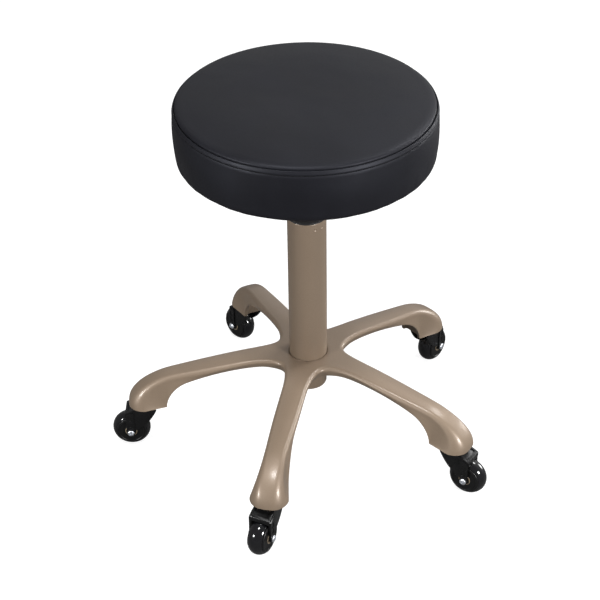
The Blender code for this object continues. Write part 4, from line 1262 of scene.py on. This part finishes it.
def axle_nut_mesh():
    """The sleeve nut on the other side, with the same domed, recessed head."""
    face = LEG_HALF + GAP
    bore = turned("bore", drill(AXLE_RADIUS + GAP, face - 0.001, face + 0.0008), 40, "Y")
    mesh = carve(bolt_head(face, "axle_nut_fine"), cross_cutters(face) + [bore], bevel=0.00012, steps=2)
    mesh.transform(Matrix.Rotation(math.pi, 4, "Z"))
    return mesh


def stem_mesh():
    """The swivel pin: a riveted foot, a neck through the yoke, a collar and a push-fit shank."""
    low, high = size_of("caster_stem_1")
    foot, neck, collar, shank = 0.0062, 0.0040, 0.0090, 0.0055
    foot_top, collar_low, collar_top = FORK_TOP - 0.0038, FORK_TOP + GAP, FOOT_BOTTOM - GAP
    corners = [(0, low.z, 0), (foot, low.z, 0.0007), (foot, foot_top, 0.0003), (neck, foot_top, 0),
               (neck, collar_low, 0), (collar, collar_low, 0.0004), (collar, collar_top, 0.0004),
               (shank, collar_top, 0), (shank, high.z, 0.0012), (0, high.z, 0)]
    return turned("caster_stem_fine", rounded(corners, 3), 48)


def build_casters():
    at_swivel = (("caster_stem_pin", stem_mesh(), "base", "zinc_steel", "caster_stem"),
                 ("caster_yoke", fork_mesh(), "caster_{}", "fork_plastic", "caster_fork"))
    at_axle = (("axle_screw", axle_bolt_mesh(), "caster_{}", "bright_steel", "axle_bolt", SCREW_ZINC),
               ("axle_cap_nut", axle_nut_mesh(), "caster_{}", "bright_steel", "axle_nut", SCREW_ZINC),
               ("caster_tread", tyre_mesh(), "wheel_{}", "tread", "caster_tyre"),
               ("caster_wheel", core_mesh(), "wheel_{}", "wheel_plastic", "wheel_core"))
    for k in range(1, 6):
        swivel = Vector(JOINTS[f"caster_swivel_{k}"]["pos_m"])
        axle = Vector(JOINTS[f"wheel_spin_{k}"]["pos_m"])
        turn = Matrix.Rotation(math.atan2(axle.y - swivel.y, axle.x - swivel.x), 4, "Z")
        swivel.z = FLOOR
        for spot, kit in ((swivel, at_swivel), (axle, at_axle)):
            for name, mesh, body, slot, node, *material in kit:
                piece(f"{name}_{k}", mesh, body.format(k), slot, [f"{node}_{k}"],
                      Matrix.Translation(spot) @ turn, *material)


# ---------------------------------------------------------------- assembly

def rod_mesh():
    """The gas spring's rod: a grooved neck under the bearing, and a neck in the piston."""
    low, high = size_of("piston_rod")
    shoulder, piston_seat = low.z + 0.0174, size_of("piston")[0].z - GAP
    groove = ROD_NECK - 0.0004
    corners = [(0, low.z, 0), (ROD_NECK, low.z, 0.0006), (ROD_NECK, low.z + 0.0032, 0),
               (groove, low.z + 0.0034, 0), (groove, low.z + 0.0048, 0), (ROD_NECK, low.z + 0.0050, 0),
               (ROD_NECK, shoulder, 0), (ROD, shoulder, 0.0004), (ROD, piston_seat, 0),
               (ROD_NECK, piston_seat, 0), (ROD_NECK, high.z, 0.0005), (0, high.z, 0)]
    return turned("lift_rod", rounded(corners, 2), 48)


def clip_mesh():
    low, high = size_of("rod_clip")
    bore = ROD_NECK + GAP
    corners = [(bore, low.z, 0.0002), (high.x, low.z, 0.0003), (high.x, high.z, 0.0003),
               (bore, high.z, 0.0002)]
    return turned("retaining_clip", rounded(corners, 2), 48)


def build_base():
    piece("cast_base", base_star_mesh(), "base", "base_paint", ["base_star"])
    piece("painted_column", column_mesh(), "base", "base_paint", ["column_tube"])
    piece("column_bush", bush_mesh(), "base", "bush_plastic", ["guide_bush"])
    piece("lift_rod", rod_mesh(), "spindle", "bright_steel", ["piston_rod"])
    piece("retaining_clip", clip_mesh(), "spindle", "zinc_steel", ["rod_clip"])


def build_lift():
    piece("lift_cylinder", cylinder_mesh(), "seat", "black_steel", ["gas_cylinder"])
    piece("pressed_plate", plate_mesh(), "seat", "black_steel", ["seat_plate"])
    for i in range(1, 5):
        place = Matrix.Translation(middle_of(f"seat_bolt_{i}") + Vector((0, 0, FLOOR)))
        place @= Matrix.Rotation(0.4 * i, 4, "Z")
        piece(f"hex_bolt_{i}", seat_bolt_mesh(i), "seat", "zinc_steel", [f"seat_bolt_{i}"], place)
    piece("lever_rod", lever_mesh(), "lever", "bright_steel", ["release_lever"])
    piece("lever_handle", grip_mesh(), "lever", "grip_plastic", ["lever_grip"])


def dress_cad_nodes():
    """Give every CAD node that is still shown the material of its own slot."""
    slots = {part["node"]: part["material_slot"] for part in frame["record"]["subparts"]}
    for name, obj in frame["nodes"].items():
        if obj.hide_render:
            continue
        obj.data.materials.clear()
        obj.data.materials.append(MATERIALS[slots[name]])


# ---------------------------------------------------------------- studio

CAMERA_AZIMUTH = 13.57            # degrees
CAMERA_ELEVATION = 35.50
CAMERA_ROLL = -0.88
CAMERA_DISTANCE = 2.1005
CAMERA_LENS = 96.82
TARGET_HEIGHT = 0.2194
TARGET_SHIFT = -0.0100


def towards(azimuth, elevation):
    """Unit vector to a place round the stool; azimuth 0 is the front arm's side."""
    a, e = math.radians(azimuth), math.radians(elevation)
    return Vector((math.sin(a) * math.cos(e), -math.cos(a) * math.cos(e), math.sin(e)))


def build_camera():
    back = towards(CAMERA_AZIMUTH, CAMERA_ELEVATION)
    right = towards(CAMERA_AZIMUTH + 90, 0)
    target = Vector((0, 0, FLOOR + TARGET_HEIGHT)) + right * TARGET_SHIFT
    facing = Matrix((right, back.cross(right), back)).transposed()
    roll = Matrix.Rotation(math.radians(CAMERA_ROLL), 3, "Z")
    data = bpy.data.cameras.new("camera")
    data.sensor_width = 36
    data.lens = CAMERA_LENS
    camera = bpy.data.objects.new("camera", data)
    camera.matrix_world = Matrix.LocRotScale(target + back * CAMERA_DISTANCE, facing @ roll, None)
    bpy.context.collection.objects.link(camera)
    bpy.context.scene.camera = camera


def area_light(name, azimuth, elevation, distance, size, power):
    """A square light that looks at the middle of the stool from a studio direction."""
    direction = towards(azimuth, elevation)
    data = bpy.data.lights.new(name, "AREA")
    data.size = size
    data.energy = power
    light = bpy.data.objects.new(name, data)
    light.location = Vector((0, 0, FLOOR + 0.25)) + direction * distance
    light.rotation_euler = direction.to_track_quat("Z", "Y").to_euler()
    light.visible_camera = False
    bpy.context.collection.objects.link(light)


def build_world():
    """A dim room with a broad white backdrop behind the stool; the eye sees it all pale."""
    world = bpy.data.worlds.new("studio")
    world.use_nodes = True
    world.node_tree.nodes.clear()
    nodes = Nodes(world.node_tree)
    place = nodes.node("TexCoord", "Generated", {})
    facing = nodes.node("VectorMath", "Value", {0: place, 1: towards(160, 26)}, operation="DOT_PRODUCT")
    fade = {"Value": facing, "From Min": 0.25, "From Max": 1.00, "To Min": 0.25, "To Max": 0.85}
    strength = nodes.node("MapRange", 0, fade, interpolation_type="SMOOTHSTEP")
    room = nodes.node("Background", 0, {"Strength": strength})
    seen = nodes.node("Background", 0, {"Color": (0.97, 0.97, 0.97, 1.0)})
    nodes.plug(nodes.split(seen, room), nodes.tree.nodes.new("ShaderNodeOutputWorld").inputs[0])
    bpy.context.scene.world = world


def floor_material():
    """Pale to the eye with a soft contact shadow, but dark in reflections and bounce."""
    made = Shader("pale_floor", (0.34, 0.34, 0.34), 0.8)
    glow = made.node("Emission", 0, {"Strength": 0.80})
    sheet = made.node("AddShader", 0, {0: glow, 1: made.surface.outputs[0]})
    dull = made.node("BsdfDiffuse", 0, {"Color": (0.13, 0.13, 0.13, 1.0)})
    made.plug(made.split(sheet, dull), made.tree.nodes["Material Output"].inputs[0])
    return made.material


def build_studio():
    build_world()
    area_light("key", -8, 68, 2.2, 0.34, 24)
    area_light("left", -40, 16, 2.5, 0.32, 38)
    area_light("right", 58, 18, 2.5, 0.50, 56)
    area_light("rim", 140, 50, 2.4, 0.6, 17)
    area_light("back", 131, 9, 2.5, 0.8, 25)
    near, far = 4.0, 40.0
    corners = [(x * half, y * half, FLOOR) for half in (near, far)
               for x, y in ((-1, -1), (1, -1), (1, 1), (-1, 1))]
    surround = [(i, (i + 1) % 4, (i + 1) % 4 + 4, i + 4) for i in range(4)]
    for name, faces in (("studio_floor", [(0, 1, 2, 3)]), ("studio_far_floor", surround)):
        used = sorted({i for face in faces for i in face})
        faces = [tuple(used.index(i) for i in face) for face in faces]
        floor = bpy.data.objects.new(name, mesh_from(name, [corners[i] for i in used], faces))
        floor.data.materials.append(floor_material())
        bpy.context.collection.objects.link(floor)
        floor.visible_diffuse = floor.visible_glossy = name == "studio_floor"
    bpy.context.scene.view_settings.view_transform = "Standard"


build_base()
build_lift()
build_seat()
build_casters()
dress_cad_nodes()
build_camera()
build_studio()

bpy.context.view_layer.update()
